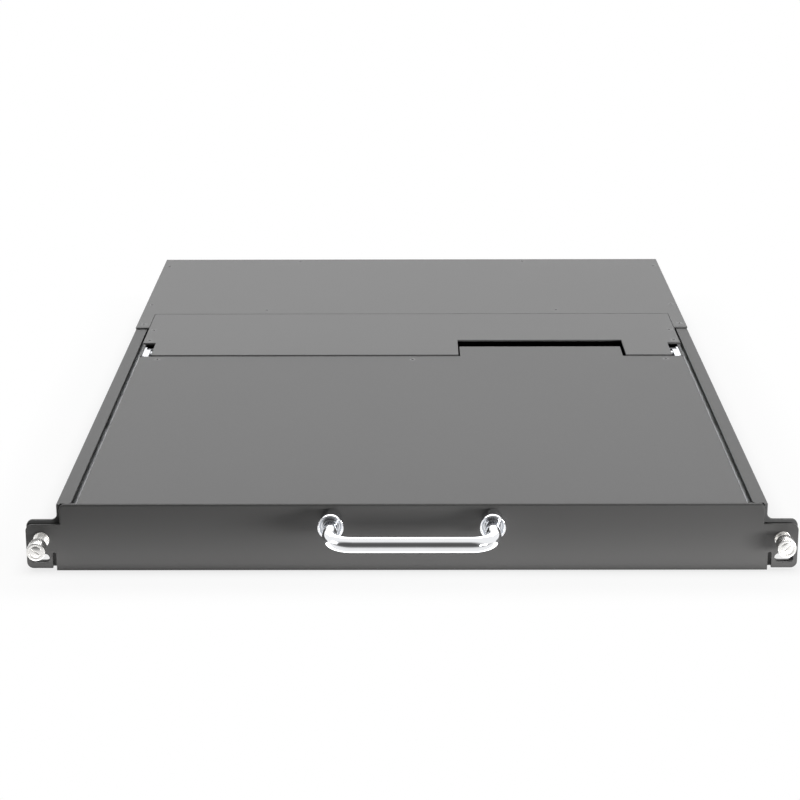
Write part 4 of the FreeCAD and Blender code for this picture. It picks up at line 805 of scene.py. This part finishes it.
def portFaces():
    boxes = solidBoxes("port_inserts")
    low, high = boxes[0]
    x, y, z = middleOf(low, high)
    face = block("portFace", low, high)
    pickFaces(face, downward)
    shrink = 1 - 2 * ports["taper"] / (high[0] - low[0])
    bpy.ops.transform.resize(value=(shrink, 1, 1), center_override=(x, y, z))
    leaveEdit()
    bevelled(face, ports["edge"])
    holes = []
    for row in ports["rows"]:
        for column in ports["columns"]:
            along = (column + row * ports["rowShift"]) * ports["pitch"]
            place = (x + along, high[1], z + row * ports["rowPitch"])
            holes.append(disc("pinHole", ports["holeSides"], ports["hole"], 2 * ports["deep"],
                              place, alongY))
    cutBy(face, [joined(holes, "pinHoles")])
    smoothed(face)
    whole = joined(repeated(face, boxes, "portCopy"), "portFaces")
    return finished(whole, "port_plastic", "chassis", "port_inserts")


def hexStuds():
    boxes = solidBoxes("jack_screws")
    low, high = boxes[0]
    x, y, z = middleOf(low, high)
    stud = disc("hexStud", 6, (high[2] - low[2]) / 2, high[1] - low[1], (x, y, z), alongY)
    pickFaces(stud, backward)
    stepped([(studs["edge"], 0)], backward)
    leaveEdit()
    cutBy(stud, [disc("studBore", studs["boreSides"], studs["bore"], 2 * studs["deep"],
                      (x, high[1], z), alongY)])
    bevelled(stud, studs["edge"])
    smoothed(stud)
    whole = joined(repeated(stud, boxes, "studCopy"), "hexStuds")
    return finished(whole, "port_metal", "chassis", "jack_screws")


portFaces()
hexStuds()
print("stage: connectors pierced")


# coil springs under the thumbscrews
springs = {
    "wire": 0.35 * mm, "coil": 3.3 * mm, "wireSides": 10, "stepsPerTurn": 28,
    "turns": {"left": 9, "right": 4}, "travel": 3.51 * mm,
}


def coilSpring(side):
    low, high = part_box("thumb_spring_" + side)
    turns = springs["turns"][side]
    length = high.y - low.y
    wire = springs["wire"]
    centre = ((low.x + high.x) / 2, (low.z + high.z) / 2)
    bpy.ops.object.select_all(action="DESELECT")
    bpy.ops.mesh.primitive_circle_add(vertices=springs["wireSides"], radius=wire,
                                      location=(springs["coil"], 0, 0), rotation=alongY)
    spring = started("springCoil_" + side)
    settle(spring)
    twist = spring.modifiers.new("turns", "SCREW")
    twist.angle = math.tau * turns
    twist.screw_offset = length - 2 * wire
    twist.steps = springs["stepsPerTurn"] * turns
    twist.render_steps = twist.steps
    applyModifiers(spring)
    bpy.ops.object.mode_set(mode="EDIT")
    bpy.ops.mesh.select_all(action="DESELECT")
    bpy.ops.mesh.select_mode(type="EDGE")
    bpy.ops.mesh.select_non_manifold()
    bpy.ops.mesh.fill()
    bpy.ops.mesh.select_all(action="SELECT")
    bpy.ops.mesh.normals_make_consistent(inside=False)
    leaveEdit()
    spring.rotation_euler = (math.radians(-90), 0, 0)
    spring.location = (centre[0], low.y + wire, centre[1])
    settle(spring)
    smoothed(spring, angle=60)
    finished(spring, "thumb_nickel", "drawer", "thumb_spring_" + side)
    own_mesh(spring)
    return spring


for side in springs["turns"]:
    coilSpring(side)
print("stage: springs wound")


# room, lights and camera
# nearWhite and farWhite: metres from the object where the share of white starts and ends, the share
# glossEnd and lightEnd: y where the floor starts and ends fading for reflections and for light
# darkToward: the side of the surroundings that is unlit, from and by which nearness to it
room = {
    "floorWide": 30.0, "floorGap": 0.3 * mm, "floorTone": 0.93, "floorRough": 0.9,
    "foot": "front_panel", "whiteSeen": 1.0, "worldLevel": 0.45,
    "nearWhite": (-0.04, 0.015, 0.92), "farWhite": (0.02, 0.06, 0.08),
    "darkToward": (-0.24, -0.96, 0.14), "darkFrom": 0.40, "darkBy": 0.85, "darkShare": 0.10,
    "glossEnd": (-0.05, -0.22), "lightEnd": (-0.04, -0.06), "endShare": 0.12,
}
lamps = {
    "overhead": {"place": (0.0, 1.6, 1.1), "size": (2.4, 1.2), "watts": 24, "aim": (0, 0.3, 0)},
    "leftCard": {"place": (-1.7, -0.5, 0.6), "size": (1.0, 1.0), "watts": 4, "aim": (0, 0.3, 0)},
    "rightCard": {
        "place": (0.75, -0.75, 0.08), "size": (0.5, 0.16), "watts": 9.2, "aim": (0, 0.3, 0)},
    "footGlow": {  # lies just above the floor in front and faces up
        "place": (0.0, -0.028, -0.008), "size": (0.5, 0.036), "watts": 0.13, "aim": (0, -0.028, 1)},
}
view = {
    "place": (-0.00015, -1.26446, 0.4951), "turn": (72.7247, 0.1637, 0.2633),
    "lens": 96.852, "sensor": 36.0, "farthest": 60,
}


def combined(tree, operation, first, second):
    node = addNode(tree, "ShaderNodeMath", operation=operation)
    tree.links.new(first, node.inputs[0])
    tree.links.new(second, node.inputs[1])
    return node.outputs["Value"]


def multiplied(tree, first, second):
    return combined(tree, "MULTIPLY", first, second)


def larger(tree, first, second):
    return combined(tree, "MAXIMUM", first, second)


def floorPlane():
    bpy.ops.object.select_all(action="DESELECT")
    bpy.ops.mesh.primitive_plane_add(size=room["floorWide"],
                                     location=(0, 0, cadBox[0][2] - room["floorGap"]))
    floor = settle(started("studioFloor"))
    material, tree, shader = emptyMaterial("paleFloor")
    shader.inputs["Roughness"].default_value = room["floorRough"]
    shader.inputs["Specular IOR Level"].default_value = 0.0
    # the camera aside, the floor is unlit some way in front of the object
    place = addNode(tree, "ShaderNodeTexCoord")
    rays = addNode(tree, "ShaderNodeLightPath")
    axes = addNode(tree, "ShaderNodeSeparateXYZ")
    tree.links.new(place.outputs["Object"], axes.inputs[0])
    ends = []
    for start, end in (room["glossEnd"], room["lightEnd"]):
        fade = addNode(tree, "ShaderNodeMapRange", interpolation_type="SMOOTHSTEP",
                       **{"From Min": start, "From Max": end,
                          "To Min": 1.0, "To Max": room["endShare"]})
        tree.links.new(axes.outputs["Y"], fade.inputs["Value"])
        ends.append(fade.outputs["Result"])
    end = addNode(tree, "ShaderNodeMix", data_type="FLOAT")
    tree.links.new(rays.outputs["Is Diffuse Ray"], end.inputs["Factor"])
    tree.links.new(ends[0], end.inputs[2])
    tree.links.new(ends[1], end.inputs[3])
    lit = larger(tree, end.outputs[0], rays.outputs["Is Camera Ray"])
    tone = addNode(tree, "ShaderNodeVectorMath", operation="SCALE")
    tone.inputs[0].default_value = (room["floorTone"],) * 3
    tree.links.new(lit, tone.inputs["Scale"])
    tree.links.new(tone.outputs["Vector"], shader.inputs["Base Color"])
    # further from the object's foot more plain white is seen, directly and in metal and glass
    low, high = [list(corner) for corner in cadBox]
    low[1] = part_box(room["foot"])[0].y
    middle = middleOf(low, high)
    reach = tuple((b - a) / 2 for a, b in zip(low, high))
    step = place.outputs["Object"]
    for operation, amount in (("SUBTRACT", middle), ("ABSOLUTE", None), ("SUBTRACT", reach),
                              ("MAXIMUM", (0, 0, 0)), ("MULTIPLY", (1, 1, 0)), ("LENGTH", None)):
        node = addNode(tree, "ShaderNodeVectorMath", operation=operation)
        tree.links.new(step, node.inputs[0])
        if amount:
            node.inputs[1].default_value = amount
        step = node.outputs["Value" if operation == "LENGTH" else "Vector"]
    shares = []
    for start, end, share in (room["nearWhite"], room["farWhite"]):
        fade = addNode(tree, "ShaderNodeMapRange", interpolation_type="SMOOTHSTEP",
                       **{"From Min": start, "From Max": end, "To Max": share})
        tree.links.new(step, fade.inputs["Value"])
        shares.append(fade.outputs["Result"])
    share = addNode(tree, "ShaderNodeMath", operation="ADD")
    for index, part in enumerate(shares):
        tree.links.new(part, share.inputs[index])
    white = addNode(tree, "ShaderNodeEmission", Strength=room["whiteSeen"])
    blend = addNode(tree, "ShaderNodeMixShader")
    mirrored = larger(tree, rays.outputs["Is Glossy Ray"], rays.outputs["Is Transmission Ray"])
    seen = larger(tree, rays.outputs["Is Camera Ray"], multiplied(tree, mirrored, ends[0]))
    tree.links.new(multiplied(tree, share.outputs["Value"], seen), blend.inputs[0])
    tree.links.new(shader.outputs["BSDF"], blend.inputs[1])
    tree.links.new(white.outputs["Emission"], blend.inputs[2])
    output = next(n for n in tree.nodes if n.type == "OUTPUT_MATERIAL")
    tree.links.new(blend.outputs["Shader"], output.inputs["Surface"])
    floor.data.materials.append(material)
    return floor


def studioWorld():
    # an even white room with an unlit side in front, which only the camera doesn't see
    world = bpy.data.worlds.new("studioAir")
    bpy.context.scene.world = world
    world.use_nodes = True
    tree = world.node_tree
    background = next(n for n in tree.nodes if n.type == "BACKGROUND")
    rays = addNode(tree, "ShaderNodeLightPath")
    direction = addNode(tree, "ShaderNodeTexCoord")
    facing = addNode(tree, "ShaderNodeVectorMath", operation="DOT_PRODUCT")
    tree.links.new(direction.outputs["Generated"], facing.inputs[0])
    facing.inputs[1].default_value = room["darkToward"]
    unlit = addNode(tree, "ShaderNodeMapRange", interpolation_type="SMOOTHSTEP",
                    **{"From Min": room["darkFrom"], "From Max": room["darkBy"],
                       "To Min": 1.0, "To Max": room["darkShare"]})
    tree.links.new(facing.outputs["Value"], unlit.inputs["Value"])
    level = addNode(tree, "ShaderNodeMix", data_type="FLOAT")
    level.inputs[2].default_value = room["worldLevel"]
    level.inputs[3].default_value = room["whiteSeen"]
    tree.links.new(larger(tree, rays.outputs["Is Glossy Ray"], rays.outputs["Is Transmission Ray"]),
                   level.inputs["Factor"])
    seen = addNode(tree, "ShaderNodeMix", data_type="FLOAT")
    tree.links.new(rays.outputs["Is Camera Ray"], seen.inputs["Factor"])
    tree.links.new(multiplied(tree, level.outputs[0], unlit.outputs["Result"]), seen.inputs[2])
    seen.inputs[3].default_value = room["whiteSeen"]
    tree.links.new(seen.outputs[0], background.inputs["Strength"])
    background.inputs["Color"].default_value = (1, 1, 1, 1)


def softLamp(name, place, size, watts, aim):
    lamp = bpy.data.lights.new(name, "AREA")
    lamp.shape = "RECTANGLE"
    lamp.size, lamp.size_y = size
    lamp.energy = watts
    holder = bpy.data.objects.new(name, lamp)
    bpy.context.collection.objects.link(holder)
    holder.location = place
    holder.visible_camera = False
    holder.rotation_euler = (Vector(aim) - Vector(place)).to_track_quat("-Z", "Y").to_euler()
    return holder


floorPlane()
studioWorld()
for name, lamp in lamps.items():
    softLamp(name, **lamp)
lens = bpy.data.cameras.new("studioCamera")
lens.lens = view["lens"]
lens.sensor_width = view["sensor"]
lens.clip_end = view["farthest"]
camera = bpy.data.objects.new("studioCamera", lens)
camera.location = view["place"]
camera.rotation_euler = tuple(math.radians(a) for a in view["turn"])
bpy.context.collection.objects.link(camera)
bpy.context.scene.camera = camera
bpy.context.scene.view_settings.view_transform = "Standard"
print("stage: room, lights and camera set")
